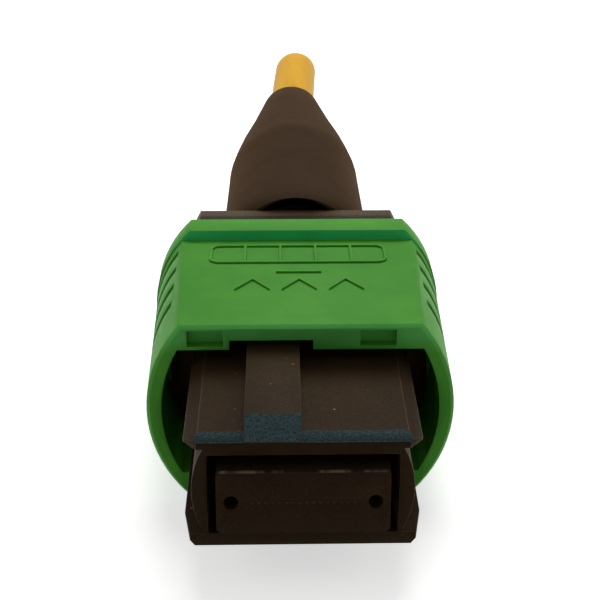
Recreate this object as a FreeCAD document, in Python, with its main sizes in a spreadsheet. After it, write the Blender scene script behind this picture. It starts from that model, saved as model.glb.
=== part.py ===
"""Sixteen-fibre push-pull optical plug, angled end face, on a 3 mm round cable.

+Y runs from the mating face back along the cable, +Z is the key side, +X is to the right
seen from the mating face. The origin is the centre of the ferrule's end face. Millimetres.
"""
import FreeCAD
import Part
import math
import os
import re
import Sketcher

Vector = FreeCAD.Vector

# Driving dimensions: name, value, what it is.
SIZES = (
    # mating ferrule
    ("ferrule_width", 6.4, "front block of the ferrule"),
    ("ferrule_height", 2.45, "front block of the ferrule"),
    ("ferrule_corner", 0.22, "corner radius of the front block"),
    ("ferrule_length", 8.0, "end face to rear face"),
    ("flange_start", 6.0, "end face to the ferrule's flange"),
    ("flange_width", 7.0, "ferrule flange"),
    ("flange_height", 3.0, "ferrule flange"),
    ("face_angle", 8.0, "slope of the end face, degrees"),
    ("pin_spacing", 5.3, "between the two guide pin holes"),
    ("pin_hole_diameter", 0.55, "guide pin hole"),
    ("fibre_count", 16, "fibres in one row"),
    ("fibre_spacing", 0.25, "between fibre centres"),
    ("fibre_diameter", 0.125, "glass diameter"),
    ("fibre_play", 0.001, "hole over glass, on the diameter"),
    ("window_start", 2.9, "end face to the glue window"),
    ("window_length", 2.0, "glue window along the plug"),
    ("window_width", 4.4, "glue window across the plug"),
    ("window_floor", 0.07, "fibre centres to the floor of the window"),
    ("glue_gap", 0.05, "glue block to the window's walls"),
    ("glue_sink", 0.12, "top of the glue under the ferrule's top"),
    ("socket_start", 5.4, "end face to the rear socket of the ferrule"),
    ("socket_width", 4.6, "rear socket of the ferrule"),
    ("socket_height", 1.3, "rear socket of the ferrule"),
    # fibre ribbon and its rubber sleeve
    ("ribbon_start", 6.25, "end face to the front of the coated ribbon"),
    ("ribbon_width", 4.1, "coated ribbon"),
    ("ribbon_thickness", 0.32, "coated ribbon"),
    ("ribbon_gap", 0.05, "ribbon to what it passes through"),
    ("sleeve_start", 5.6, "end face to the rubber sleeve"),
    ("sleeve_length", 3.3, "rubber sleeve in the ferrule"),
    ("sleeve_gap", 0.05, "rubber sleeve to its socket"),
    ("bundle_diameter", 1.1, "fibres gathered round in the cable"),
    ("gather_start", 15.6, "where the ribbon starts to gather"),
    ("gather_length", 4.9, "length over which the ribbon gathers"),
    # spring seat behind the ferrule
    ("seat_inset", 0.05, "spring seat plate inside the flange's outline, each side"),
    ("seat_thickness", 1.9, "spring seat plate"),
    ("boss_width", 4.7, "boss inside the ferrule spring"),
    ("boss_height", 1.7, "boss inside the ferrule spring"),
    ("boss_length", 1.0, "boss inside the ferrule spring"),
    # ferrule spring
    ("spring_width", 5.7, "oval spring over its wire"),
    ("spring_height", 2.9, "oval spring over its wire"),
    ("spring_wire", 0.4, "wire of the oval spring"),
    ("spring_turns", 5, "turns of the oval spring"),
    ("spring_gap", 0.03, "spring end to its seat"),
    # inner housing
    ("nose_setback", 0.48, "ferrule face to the front of the nose"),
    ("nose_width", 8.8, "top and bottom plates of the nose"),
    ("nose_height", 4.8, "nose over its two plates"),
    ("nose_crown", 7.74, "flat top of the nose between its side bevels"),
    ("nose_bevel", 0.3, "drop of the side bevels of the top plate"),
    ("keel_crown", 8.2, "flat underside of the nose between its side bevels"),
    ("keel_bevel", 0.56, "rise of the side bevels of the bottom plate"),
    ("corner_inset", 0.5, "top plate narrowed at its front corners, each side"),
    ("keel_inset", 0.15, "bottom plate narrowed at its front corners, each side"),
    ("corner_length", 0.57, "length of those slanted corners along the plug"),
    ("mouth_width", 7.1, "opening round the ferrule"),
    ("mouth_height", 3.5, "opening round the ferrule"),
    ("mouth_depth", 2.8, "depth of that opening"),
    ("mouth_corner", 0.12, "corner radius of that opening"),
    ("side_gap_height", 3.76, "latch channel between the plates"),
    ("side_gap_centre", 0.12, "middle of the latch channel above the axis"),
    ("side_bulge", 8.26, "nose over the curved side walls"),
    ("side_root", 7.36, "nose where the side walls meet the plates"),
    ("latch_start", 5.1, "front of the latch recess"),
    ("latch_length", 2.2, "latch recess along the plug"),
    ("latch_width", 7.7, "nose across the latch recesses"),
    ("lead_drop", 0.1, "drop of the lead-in at the front of the plates"),
    ("lead_length", 0.62, "length of that lead-in"),
    ("key_centre", -1.105, "middle of the key off the middle of the plug"),
    ("key_width", 2.09, "key"),
    ("key_height", 0.68, "key above the nose"),
    ("ferrule_play", 0.07, "guide to ferrule, each side"),
    ("body_start", 8.8, "front of the guide body behind the nose"),
    ("body_width", 11.0, "guide body inside the coupling sleeve"),
    ("body_crown", 9.6, "flat top of the guide body"),
    ("body_height", 5.3, "guide body"),
    ("body_end", 17.4, "rear face of the inner housing"),
    ("chamber_play", 0.1, "spring chamber to the ferrule's flange, each side"),
    ("catch_start", 12.6, "front of the catch recess for the rear body"),
    ("catch_length", 1.6, "catch recess"),
    ("catch_depth", 0.3, "catch recess"),
    ("catch_height", 2.0, "catch recess"),
    ("channel_start", 9.6, "front of the side spring channels"),
    ("channel_end", 16.3, "rear of the side spring channels"),
    ("channel_height", 1.5, "side spring channels"),
    ("channel_floor", 8.9, "inner housing across the channel floors"),
    # coupling sleeve (outer housing)
    ("shell_start", 6.05, "ferrule face to the front of the coupling sleeve"),
    ("shell_length", 10.85, "coupling sleeve"),
    ("shell_width", 12.62, "coupling sleeve at its front"),
    ("shell_height", 8.06, "coupling sleeve at its front"),
    ("shell_crown", 9.66, "flat top at its front"),
    ("waist_width", 13.3, "coupling sleeve at the foot of the rim"),
    ("waist_height", 6.9, "coupling sleeve at the foot of the rim"),
    ("waist_crown", 10.7, "flat top at the foot of the rim"),
    ("rim_length", 1.5, "rear rim"),
    ("rim_width", 13.42, "rear rim"),
    ("rim_height", 7.9, "rear rim"),
    ("rim_crown", 10.0, "flat top of the rear rim"),
    ("rim_edge", 0.2, "bevel of the rear rim"),
    ("shell_edge", 0.14, "bevel of the sleeve's front edge"),
    ("bore_width", 11.4, "opening through the coupling sleeve"),
    ("bore_crown", 9.9, "flat roof of that opening"),
    ("bore_height", 5.9, "opening through the coupling sleeve"),
    ("notch_low", -2.86, "left side of the key notch"),
    ("notch_high", 0.5, "right side of the key notch"),
    ("notch_height", 3.375, "roof of the key notch above the axis"),
    ("notch_depth", 4.0, "key notch along the plug"),
    ("recess_centre", -0.36, "middle between the two front recesses"),
    ("recess_spread", 6.92, "between the two front recesses"),
    ("recess_width", 1.45, "front recess"),
    ("recess_floor", 3.09, "inner side of the front recesses"),
    ("recess_roof", 3.81, "outer side of the front recesses"),
    ("recess_depth", 0.4, "front recesses along the plug"),
    ("grip_count", 4, "grip grooves on each side"),
    ("grip_first", 9.1, "front of the first grip groove"),
    ("grip_spacing", 1.68, "between grip grooves"),
    ("grip_width", 0.55, "grip groove along the plug"),
    ("grip_depth", 0.26, "grip groove"),
    ("grip_height", 6.6, "grip grooves over the height of the side"),
    ("ledge_gap", 0.03, "sleeve ledge to the shoulder it rests on"),
    ("ledge_length", 0.97, "spring ledge of the sleeve"),
    ("ledge_height", 1.2, "spring ledge of the sleeve"),
    ("ledge_span", 9.1, "between the tips of the two ledges"),
    # side springs of the coupling sleeve
    ("coil_spread", 10.14, "between the axes of the two side springs"),
    ("coil_diameter", 1.0, "side spring over its wire"),
    ("coil_wire", 0.18, "wire of the side springs"),
    ("coil_turns", 7, "turns of a side spring"),
    # rear body
    ("block_width", 11.0, "block of the rear body"),
    ("block_crown", 9.7, "flat top of the block"),
    ("block_height", 5.1, "block of the rear body"),
    ("block_length", 3.6, "block of the rear body"),
    ("plug_play", 0.1, "insert of the rear body to the spring chamber, each side"),
    ("plug_length", 1.4, "insert of the rear body, its arms left out"),
    ("arm_thickness", 0.45, "latch arm"),
    ("arm_height", 2.6, "latch arm"),
    ("arm_reach", 3.8, "latch arm in front of the insert"),
    ("hook_gap", 0.05, "hook to its catch recess"),
    ("neck_diameter", 4.4, "crimp neck"),
    ("neck_length", 4.2, "crimp neck"),
    ("neck_bore", 2.6, "bore of the crimp neck"),
    ("neck_ring_count", 3, "grip rings of the neck"),
    ("neck_ring_depth", 0.08, "grip rings of the neck"),
    ("passage_width", 4.5, "ribbon passage of the rear body"),
    ("passage_height", 0.9, "ribbon passage of the rear body"),
    # cable and crimp
    ("cable_diameter", 3.0, "jacket"),
    ("jacket_wall", 0.45, "jacket"),
    ("cable_end", 53.6, "ferrule face to the cut end of the cable"),
    ("yarn_wall", 0.15, "yarn layer under the crimp"),
    ("fold_wall", 0.5, "yarn where it turns out over the neck"),
    ("crimp_gap", 0.02, "between the layers of the crimp"),
    ("sleeve_wall", 0.27, "crimp sleeve"),
    ("sleeve_front", 0.3, "block to the front of the crimp sleeve"),
    ("sleeve_tail", 4.0, "crimp sleeve over the jacket"),
    ("tube_wall", 0.2, "support tube under the jacket"),
    ("core_gap", 0.05, "yarn to the fibre bundle"),
    # strain relief boot
    ("boot_front_diameter", 7.7, "boot at its mouth"),
    ("boot_shoulder_diameter", 7.4, "boot at its shoulder"),
    ("boot_exit_diameter", 3.8, "boot at the cable exit"),
    ("boot_barrel", 10.0, "boot from its mouth to its shoulder"),
    ("boot_taper", 13.0, "boot from its shoulder to the exit"),
    ("boot_mouth", 6.4, "mouth of the boot"),
    ("boot_mouth_depth", 1.6, "depth of the wide mouth"),
    ("boot_gap", 0.04, "boot to the sleeve and cable it grips"),
    ("boot_lip", 0.2, "bevel of the exit"),
    ("boot_edge", 0.15, "bevel of the mouth"),
    ("boot_shoulder_length", 1.6, "length over which the shoulder turns"),
    ("boot_shoulder_drop", 0.12, "shoulder under its corner, on the radius"),
)

SIZE_NAMES = {name for name, value, note in SIZES}

doc = FreeCAD.newDocument("optical_plug")


def make_sheet():
    sheet = doc.addObject("Spreadsheet::Sheet", "Sizes")
    for row, (name, value, note) in enumerate(SIZES, start=1):
        sheet.set(f"A{row}", name)
        sheet.set(f"B{row}", str(value))
        sheet.set(f"C{row}", note)
        sheet.setAlias(f"B{row}", name)
    doc.recompute()
    return sheet


sheet = make_sheet()


def formula(text):
    """Turns size names into references to the sheet."""
    def refer(match):
        word = match.group(0)
        return "Sizes." + word if word in SIZE_NAMES else word
    return re.sub(r"[a-z]\w*", refer, text)


def number(text):
    """The present value of a formula in size names."""
    return float(sheet.evalExpression(formula(text)))


def bind(item, path, text):
    item.setExpression(path, formula(text))


# ---------------------------------------------------------------- sketches

def plane_of(body, role):
    return next(item for item in body.Origin.OriginFeatures if item.Role == role)


def make_body(label):
    body = doc.addObject("PartDesign::Body", label)
    body.Label = label
    return body


def section_at(body, name, place):
    """Sketch across the plug: its x is X, its y is Z, at the given distance along Y."""
    sketch = body.newObject("Sketcher::SketchObject", name)
    sketch.AttachmentSupport = [(plane_of(body, "XZ_Plane"), "")]
    sketch.MapMode = "FlatFace"
    bind(sketch, "AttachmentOffset.Base.z", f"-({place})")
    return sketch


def side_view(body, name, place="0"):
    """Sketch along the plug: its x is Y, its y is Z, at the given distance along X."""
    sketch = body.newObject("Sketcher::SketchObject", name)
    sketch.AttachmentSupport = [(plane_of(body, "YZ_Plane"), "")]
    sketch.MapMode = "FlatFace"
    bind(sketch, "AttachmentOffset.Base.z", place)
    return sketch


def top_view(body, name, place="0"):
    """Sketch seen from above: its x is X, its y is Y, at the given height."""
    sketch = body.newObject("Sketcher::SketchObject", name)
    sketch.AttachmentSupport = [(plane_of(body, "XY_Plane"), "")]
    sketch.MapMode = "FlatFace"
    bind(sketch, "AttachmentOffset.Base.z", place)
    return sketch


def constrain(sketch, text, kind, *what):
    index = sketch.addConstraint(Sketcher.Constraint(kind, *what, number(text)))
    bind(sketch, f"Constraints[{index}]", text)


def pin(sketch, edge, end, across, up):
    """Ties one end of an edge to its place from the sketch's origin."""
    constrain(sketch, across, "DistanceX", -1, 1, edge, end)
    constrain(sketch, up, "DistanceY", -1, 1, edge, end)


def draw_outline(sketch, corners):
    """Closed outline of straight edges through corners given as pairs of formulas."""
    points = [Vector(number(across), number(up), 0) for across, up in corners]
    first = sketch.GeometryCount
    count = len(points)
    for index in range(count):
        sketch.addGeometry(Part.LineSegment(points[index], points[(index + 1) % count]), False)
    for index, (across, up) in enumerate(corners):
        following = first + (index + 1) % count
        sketch.addConstraint(Sketcher.Constraint("Coincident", first + index, 2, following, 1))
        pin(sketch, first + index, 1, across, up)
    return sketch


def draw_rectangle(sketch, left, right, low, high):
    return draw_outline(sketch, [(left, low), (right, low), (right, high), (left, high)])


def draw_centred(sketch, width, height):
    return draw_rectangle(sketch, f"-({width})/2", f"({width})/2", f"-({height})/2", f"({height})/2")


def draw_rounded(sketch, width, height, corner):
    """Centred rectangle with round corners."""
    half_w, half_h, radius = number(width) / 2, number(height) / 2, number(corner)
    inner_w, inner_h = half_w - radius, half_h - radius
    lines = [
        (Vector(-inner_w, -half_h, 0), Vector(inner_w, -half_h, 0)),
        (Vector(half_w, -inner_h, 0), Vector(half_w, inner_h, 0)),
        (Vector(inner_w, half_h, 0), Vector(-inner_w, half_h, 0)),
        (Vector(-half_w, inner_h, 0), Vector(-half_w, -inner_h, 0)),
    ]
    for start, finish in lines:
        sketch.addGeometry(Part.LineSegment(start, finish), False)
    centres = [(inner_w, -inner_h), (inner_w, inner_h), (-inner_w, inner_h), (-inner_w, -inner_h)]
    for index, (across, up) in enumerate(centres):
        circle = Part.Circle(Vector(across, up, 0), Vector(0, 0, 1), radius)
        start = math.radians(90 * index - 90)
        sketch.addGeometry(Part.ArcOfCircle(circle, start, start + math.pi / 2), False)
    for index in range(4):
        sketch.addConstraint(Sketcher.Constraint("Tangent", index, 2, 4 + index, 1))
        sketch.addConstraint(Sketcher.Constraint("Tangent", 4 + index, 2, (index + 1) % 4, 1))
    for index in range(3):
        sketch.addConstraint(Sketcher.Constraint("Equal", 4, 5 + index))
    sketch.addConstraint(Sketcher.Constraint("Horizontal", 0))
    sketch.addConstraint(Sketcher.Constraint("Vertical", 1))
    sketch.addConstraint(Sketcher.Constraint("Horizontal", 2))
    sketch.addConstraint(Sketcher.Constraint("Vertical", 3))
    constrain(sketch, corner, "Radius", 4)
    constrain(sketch, f"-({height})/2", "DistanceY", -1, 1, 0, 1)
    constrain(sketch, f"({width})/2", "DistanceX", -1, 1, 1, 1)
    constrain(sketch, f"({height})/2", "DistanceY", -1, 1, 2, 1)
    constrain(sketch, f"-({width})/2", "DistanceX", -1, 1, 3, 1)
    return sketch


def join(sketch, line, end, arc):
    """Joins an end of a line to the end of an arc that lies on it."""
    point = sketch.getPoint(line, end)
    at_start = sketch.getPoint(arc, 1).distanceToPoint(point)
    at_finish = sketch.getPoint(arc, 2).distanceToPoint(point)
    arc_end = 1 if at_start < at_finish else 2
    sketch.addConstraint(Sketcher.Constraint("Coincident", line, end, arc, arc_end))


def draw_barrel(sketch, width, crown, height):
    """Flat top and bottom as wide as crown, with sides that bulge out to width."""
    half_c, half_h, half_w = number(crown) / 2, number(height) / 2, number(width) / 2
    corners = [Vector(-half_c, half_h, 0), Vector(half_c, half_h, 0),
               Vector(half_c, -half_h, 0), Vector(-half_c, -half_h, 0)]
    sketch.addGeometry(Part.LineSegment(corners[0], corners[1]), False)
    sketch.addGeometry(Part.Arc(corners[1], Vector(half_w, 0, 0), corners[2]), False)
    sketch.addGeometry(Part.LineSegment(corners[2], corners[3]), False)
    sketch.addGeometry(Part.Arc(corners[3], Vector(-half_w, 0, 0), corners[0]), False)
    pin(sketch, 0, 1, f"-({crown})/2", f"({height})/2")
    pin(sketch, 0, 2, f"({crown})/2", f"({height})/2")
    pin(sketch, 2, 1, f"({crown})/2", f"-({height})/2")
    pin(sketch, 2, 2, f"-({crown})/2", f"-({height})/2")
    rise = f"(({width}) - ({crown}))"
    for edge, before, after in ((1, 0, 2), (3, 2, 0)):
        join(sketch, before, 2, edge)
        join(sketch, after, 1, edge)
        constrain(sketch, f"(({height})^2 + {rise}^2) / (4 * {rise})", "Radius", edge)
    return sketch


def draw_circle(sketch, across, up, diameter):
    edge = sketch.GeometryCount
    centre = Vector(number(across), number(up), 0)
    sketch.addGeometry(Part.Circle(centre, Vector(0, 0, 1), number(diameter) / 2), False)
    constrain(sketch, diameter, "Diameter", edge)
    pin(sketch, edge, 3, across, up)
    return sketch


# ---------------------------------------------------------------- features

def octagon(across, up, diameter):
    """Corners of an eight-sided stand-in for a small circle, which its sides touch."""
    half = f"({diameter})/2"
    short = f"({diameter})/2 * tan(22.5 deg)"
    quarter = [(half, short), (short, half), (f"-{short}", half), (f"-{half}", short)]
    opposite = [(f"-({x})", f"-({z})") for x, z in quarter]
    return [(f"{across} + {x}", f"{up} + {z}") for x, z in quarter + opposite]


def draw_chamfered(sketch, width, height, corner):
    """Centred rectangle with cut corners."""
    side, top = f"({width})/2", f"({height})/2"
    quarter = [(side, f"{top} - {corner}"), (f"{side} - {corner}", top),
               (f"-{side} + {corner}", top), (f"-{side}", f"{top} - {corner}")]
    opposite = [(f"-({x})", f"-({z})") for x, z in quarter]
    return draw_outline(sketch, quarter + opposite)


def volume_of(item):
    return item.Shape.Volume


def add_pad(body, sketch, length):
    """Grows a section towards the cable."""
    pad = body.newObject("PartDesign::Pad", sketch.Name + "_pad")
    pad.Profile = sketch
    pad.Reversed = True
    bind(pad, "Length", length)
    doc.recompute()
    return pad


def add_both_ways(body, sketch, length):
    """Grows a side view equally to the left and the right."""
    pad = body.newObject("PartDesign::Pad", sketch.Name + "_pad")
    pad.Profile = sketch
    pad.SideType = "Symmetric"
    bind(pad, "Length", length)
    doc.recompute()
    return pad


def cut_pocket(body, sketch, length):
    """Cuts a section towards the cable, or a top view downwards."""
    before = volume_of(body)
    pocket = body.newObject("PartDesign::Pocket", sketch.Name + "_pocket")
    pocket.Profile = sketch
    bind(pocket, "Length", length)
    doc.recompute()
    if not volume_of(body) < before:
        raise RuntimeError(f"{pocket.Label} cuts nothing")
    return pocket


def cut_across(body, sketch, length):
    """Cuts a side view through both ways from the middle of the plug."""
    before = volume_of(body)
    pocket = body.newObject("PartDesign::Pocket", sketch.Name + "_pocket")
    pocket.Profile = sketch
    pocket.SideType = "Symmetric"
    bind(pocket, "Length", length)
    doc.recompute()
    if not volume_of(body) < before:
        raise RuntimeError(f"{pocket.Label} cuts nothing")
    return pocket


def add_loft(body, first, second):
    loft = body.newObject("PartDesign::AdditiveLoft", first.Name + "_loft")
    loft.Profile = first
    loft.Sections = [second]
    doc.recompute()
    return loft


def cut_loft(body, first, second):
    before = volume_of(body)
    loft = body.newObject("PartDesign::SubtractiveLoft", first.Name + "_loft")
    loft.Profile = first
    loft.Sections = [second]
    doc.recompute()
    if not volume_of(body) < before:
        raise RuntimeError(f"{loft.Label} cuts nothing")
    return loft


def turn(body, sketch):
    """Turns a side view round the plug's axis."""
    revolution = body.newObject("PartDesign::Revolution", sketch.Name + "_turn")
    revolution.Profile = sketch
    revolution.ReferenceAxis = (sketch, ["H_Axis"])
    revolution.Angle = 360
    doc.recompute()
    return revolution


def repeat(body, feature, direction, count, pitch):
    """Repeats a feature along one of the body's axes."""
    pattern = body.newObject("PartDesign::LinearPattern", feature.Name + "_row")
    pattern.Originals = [feature]
    pattern.Direction = (plane_of(body, direction), [""])
    pattern.Mode = "Spacing"
    bind(pattern, "Occurrences", count)
    bind(pattern, "Offset", pitch)
    body.Tip = pattern
    doc.recompute()
    return pattern


def find_edges(body, name, test):
    """The last feature and its edges whose middle passes the test."""
    base = [item for item in body.Group if item.isDerivedFrom("PartDesign::Feature")][-2]
    names = []
    for index, edge in enumerate(base.Shape.Edges, start=1):
        middle = edge.valueAt((edge.FirstParameter + edge.LastParameter) / 2)
        if test(middle):
            names.append(f"Edge{index}")
    if not names:
        raise RuntimeError(f"{name} finds no edge")
    return base, names


def bevel_edges(body, name, test, size):
    """Cuts a narrow flat along the edges whose middle passes the test."""
    bevel = body.newObject("PartDesign::Chamfer", name)
    bevel.Base = find_edges(body, name, test)
    bind(bevel, "Size", size)
    doc.recompute()
    return bevel


def near(value, text):
    return abs(value - number(text)) < 1e-4


# ---------------------------------------------------------------- ferrule group

SEAT_WIDTH = "(flange_width - 2 * seat_inset)"
SEAT_HEIGHT = "(flange_height - 2 * seat_inset)"
CHAMBER_WIDTH = "(flange_width + 2 * chamber_play)"
CHAMBER_HEIGHT = "(flange_height + 2 * chamber_play)"
PLUG_WIDTH = f"({CHAMBER_WIDTH} - 2 * plug_play)"
PLUG_HEIGHT = f"({CHAMBER_HEIGHT} - 2 * plug_play)"
FIBRE_HOLE = "fibre_diameter + fibre_play"
FIRST_FIBRE = "-(fibre_count - 1) * fibre_spacing / 2"


FACE_REACH = "ferrule_height * tan(face_angle)"


def cut_end_face(body):
    """Takes off what lies in front of the sloping end face, whose top edge is set back."""
    sketch = side_view(body, body.Label + "_slope")
    draw_outline(sketch, [
        (f"-{FACE_REACH}", "-ferrule_height"),
        (FACE_REACH, "ferrule_height"),
        (f"-2 * {FACE_REACH}", "ferrule_height"),
        (f"-2 * {FACE_REACH}", "-ferrule_height"),
    ])
    cut_across(body, sketch, "2 * ferrule_width")


def make_ferrule():
    body = make_body("mt_ferrule")
    front = section_at(body, "ferrule_front", f"-{FACE_REACH}")
    draw_rounded(front, "ferrule_width", "ferrule_height", "ferrule_corner")
    add_pad(body, front, f"flange_start + {FACE_REACH}")
    flange = section_at(body, "ferrule_flange", "flange_start")
    draw_rounded(flange, "flange_width", "flange_height", "ferrule_corner")
    add_pad(body, flange, "ferrule_length - flange_start")
    cut_end_face(body)

    socket = section_at(body, "ferrule_socket", "socket_start")
    draw_centred(socket, "socket_width", "socket_height")
    cut_pocket(body, socket, "ferrule_length - socket_start")
    throat = section_at(body, "ferrule_throat", "window_start + window_length")
    draw_centred(throat, "window_width", "2 * window_floor + fibre_spacing")
    cut_pocket(body, throat, "socket_start - window_start - window_length")
    window = section_at(body, "ferrule_window", "window_start")
    draw_rectangle(window, "-window_width/2", "window_width/2", "-window_floor", "ferrule_height")
    cut_pocket(body, window, "window_length")

    pins = section_at(body, "pin_holes", f"-{FACE_REACH}")
    draw_circle(pins, "-pin_spacing/2", "0", "pin_hole_diameter")
    draw_circle(pins, "pin_spacing/2", "0", "pin_hole_diameter")
    cut_pocket(body, pins, f"ferrule_length + {FACE_REACH}")
    hole = section_at(body, "fibre_hole", f"-{FACE_REACH}")
    draw_outline(hole, octagon(FIRST_FIBRE, "0", FIBRE_HOLE))
    drilled = cut_pocket(body, hole, f"window_start + glue_gap + {FACE_REACH}")
    repeat(body, drilled, "X_Axis", "fibre_count", "fibre_spacing")
    return body


def make_fibres():
    """The bare glass from the end face to the ribbon, one solid for each fibre."""
    start = -2 * number(FACE_REACH)
    finish = number("ribbon_start") - number("ribbon_gap")
    reach = number("ferrule_width")
    wedge = Part.makeBox(2 * reach, reach, 2 * reach, Vector(-reach, -reach, -reach))
    wedge.rotate(Vector(0, 0, 0), Vector(1, 0, 0), -number("face_angle"))
    solids = []
    for index in range(int(number("fibre_count"))):
        across = f"{FIRST_FIBRE} + {index} * fibre_spacing"
        ring = [Vector(number(x), start, number(z)) for x, z in octagon(across, "0", "fibre_diameter")]
        glass = Part.Face(Part.makePolygon(ring + ring[:1])).extrude(Vector(0, finish - start, 0))
        solids.append(glass.cut(wedge).Solids[0])
    fibres = doc.addObject("Part::Feature", "fibres")
    fibres.Shape = Part.makeCompound(solids)
    fibres.Label = "fibres"
    return fibres


def make_window_epoxy():
    body = make_body("window_epoxy")
    block = section_at(body, "glue_block", "window_start + glue_gap")
    draw_rectangle(block, "-window_width/2 + glue_gap", "window_width/2 - glue_gap",
                   "fibre_diameter/2 + fibre_play", "ferrule_height/2 - glue_sink")
    add_pad(body, block, "window_length - 2 * glue_gap")
    return body


def make_ferrule_boot():
    body = make_body("ferrule_boot")
    outside = section_at(body, "rubber_sleeve", "sleeve_start")
    draw_rounded(outside, "socket_width - 2 * sleeve_gap", "socket_height - 2 * sleeve_gap",
                 "socket_height/4")
    add_pad(body, outside, "sleeve_length")
    slot = section_at(body, "rubber_slot", "sleeve_start")
    draw_centred(slot, "ribbon_width + 2 * ribbon_gap", "ribbon_thickness + 2 * ribbon_gap")
    cut_pocket(body, slot, "sleeve_length")
    return body


def make_pin_clamp():
    """Plate that takes the spring's push behind the ferrule, with a boss that centres the spring."""
    body = make_body("pin_clamp")
    plate = section_at(body, "clamp_plate", "ferrule_length")
    draw_rounded(plate, SEAT_WIDTH, SEAT_HEIGHT, "ferrule_corner")
    add_pad(body, plate, "seat_thickness")
    boss = section_at(body, "clamp_boss", "ferrule_length + seat_thickness")
    draw_rounded(boss, "boss_width", "boss_height", "boss_height/2.2")
    add_pad(body, boss, "boss_length")
    pocket = section_at(body, "clamp_socket", "ferrule_length")
    draw_centred(pocket, "socket_width", "socket_height")
    cut_pocket(body, pocket, "sleeve_start + sleeve_length + sleeve_gap - ferrule_length")
    slot = section_at(body, "clamp_slot", "ferrule_length")
    draw_centred(slot, "ribbon_width + 2 * ribbon_gap", "ribbon_thickness + 2 * ribbon_gap")
    cut_pocket(body, slot, "seat_thickness + boss_length")
    for side in ("-", ""):
        name = "clamp_pin_seat_" + ("left" if side else "right")
        seat = section_at(body, name, "ferrule_length")
        draw_circle(seat, f"{side}pin_spacing/2", "0", "pin_hole_diameter")
        cut_pocket(body, seat, "seat_thickness/2")
    return body


def make_fibre_ribbon():
    """Coated ribbon, gathered round where it enters the cable, to the cable's cut end."""
    body = make_body("fibre_ribbon")
    flat = section_at(body, "ribbon_flat", "ribbon_start")
    draw_rounded(flat, "ribbon_width", "ribbon_thickness", "ribbon_thickness/2.2")
    add_pad(body, flat, "gather_start - ribbon_start")
    first = section_at(body, "ribbon_gather", "gather_start")
    draw_rounded(first, "ribbon_width", "ribbon_thickness", "ribbon_thickness/2.2")
    second = section_at(body, "ribbon_round", "gather_start + gather_length")
    draw_rounded(second, "bundle_diameter", "bundle_diameter", "bundle_diameter/2.2")
    add_loft(body, first, second)
    run = section_at(body, "ribbon_bundle", "gather_start + gather_length")
    draw_rounded(run, "bundle_diameter", "bundle_diameter", "bundle_diameter/2.2")
    add_pad(body, run, "cable_end - gather_start - gather_length")
    return body


# ---------------------------------------------------------------- springs

SEAT_REAR = "ferrule_length + seat_thickness"
PLUG_FRONT = "body_end - plug_length"


LEDGE_FRONT = "channel_start + ledge_gap"
LEDGE_REAR = "channel_start + ledge_gap + ledge_length"


def wind(label, axis, points, wire):
    """Six-sided wire along a coil's points, each ring set square to the run there."""
    rings = []
    for index, point in enumerate(points):
        heading = points[min(index + 1, len(points) - 1)] - points[max(index - 1, 0)]
        heading.normalize()
        outward = Vector(point.x - axis, 0, point.z)
        outward = (outward - heading * outward.dot(heading)).normalize()
        side = heading.cross(outward)
        ring = []
        for corner in range(6):
            angle = math.radians(60 * corner + 30)
            ring.append(point + outward * (wire / 2 * math.cos(angle)) + side * (wire / 2 * math.sin(angle)))
        rings.append(Part.makePolygon(ring + ring[:1]))
    spring = doc.addObject("Part::Feature", label)
    spring.Shape = Part.makeLoft(rings, True, True)
    spring.Label = label
    return spring


def coil_points(axis, half_w, half_h, start, finish, turns, squareness, steps_per_turn):
    """Points along a coil; a squareness under 1 pushes an oval turn out into its corners."""
    def bulge(ratio):
        return math.copysign(abs(ratio) ** squareness, ratio)

    steps = int(turns * steps_per_turn)
    points = []
    for step in range(steps + 1):
        angle = 2 * math.pi * (step + 0.5) / steps_per_turn
        along = start + (finish - start) * step / steps
        points.append(Vector(axis + half_w * bulge(math.cos(angle)), along, half_h * bulge(math.sin(angle))))
    return points


def make_ferrule_spring():
    """Oval compression spring between the pin clamp and the rear body."""
    wire = number("spring_wire")
    half_w = (number("spring_width") - wire) / 2
    half_h = (number("spring_height") - wire) / 2
    start = number(SEAT_REAR) + number("spring_gap") + wire / 2
    finish = number(PLUG_FRONT) - number("spring_gap") - wire / 2
    points = coil_points(0, half_w, half_h, start, finish, number("spring_turns"), 2 / 3, 12)
    return wind("ferrule_spring", 0, points, wire)


def make_coupling_spring(label, side):
    """Round compression spring that pushes the coupling sleeve forward."""
    wire = number("coil_wire")
    radius = (number("coil_diameter") - wire) / 2
    axis = side * number("coil_spread") / 2
    start = number(LEDGE_REAR) + number("spring_gap") + wire / 2
    finish = number("channel_end") - number("spring_gap") - wire / 2
    points = coil_points(axis, radius, radius, start, finish, number("coil_turns"), 1, 8)
    return wind(label, axis, points, wire)


# ---------------------------------------------------------------- inner housing

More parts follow.
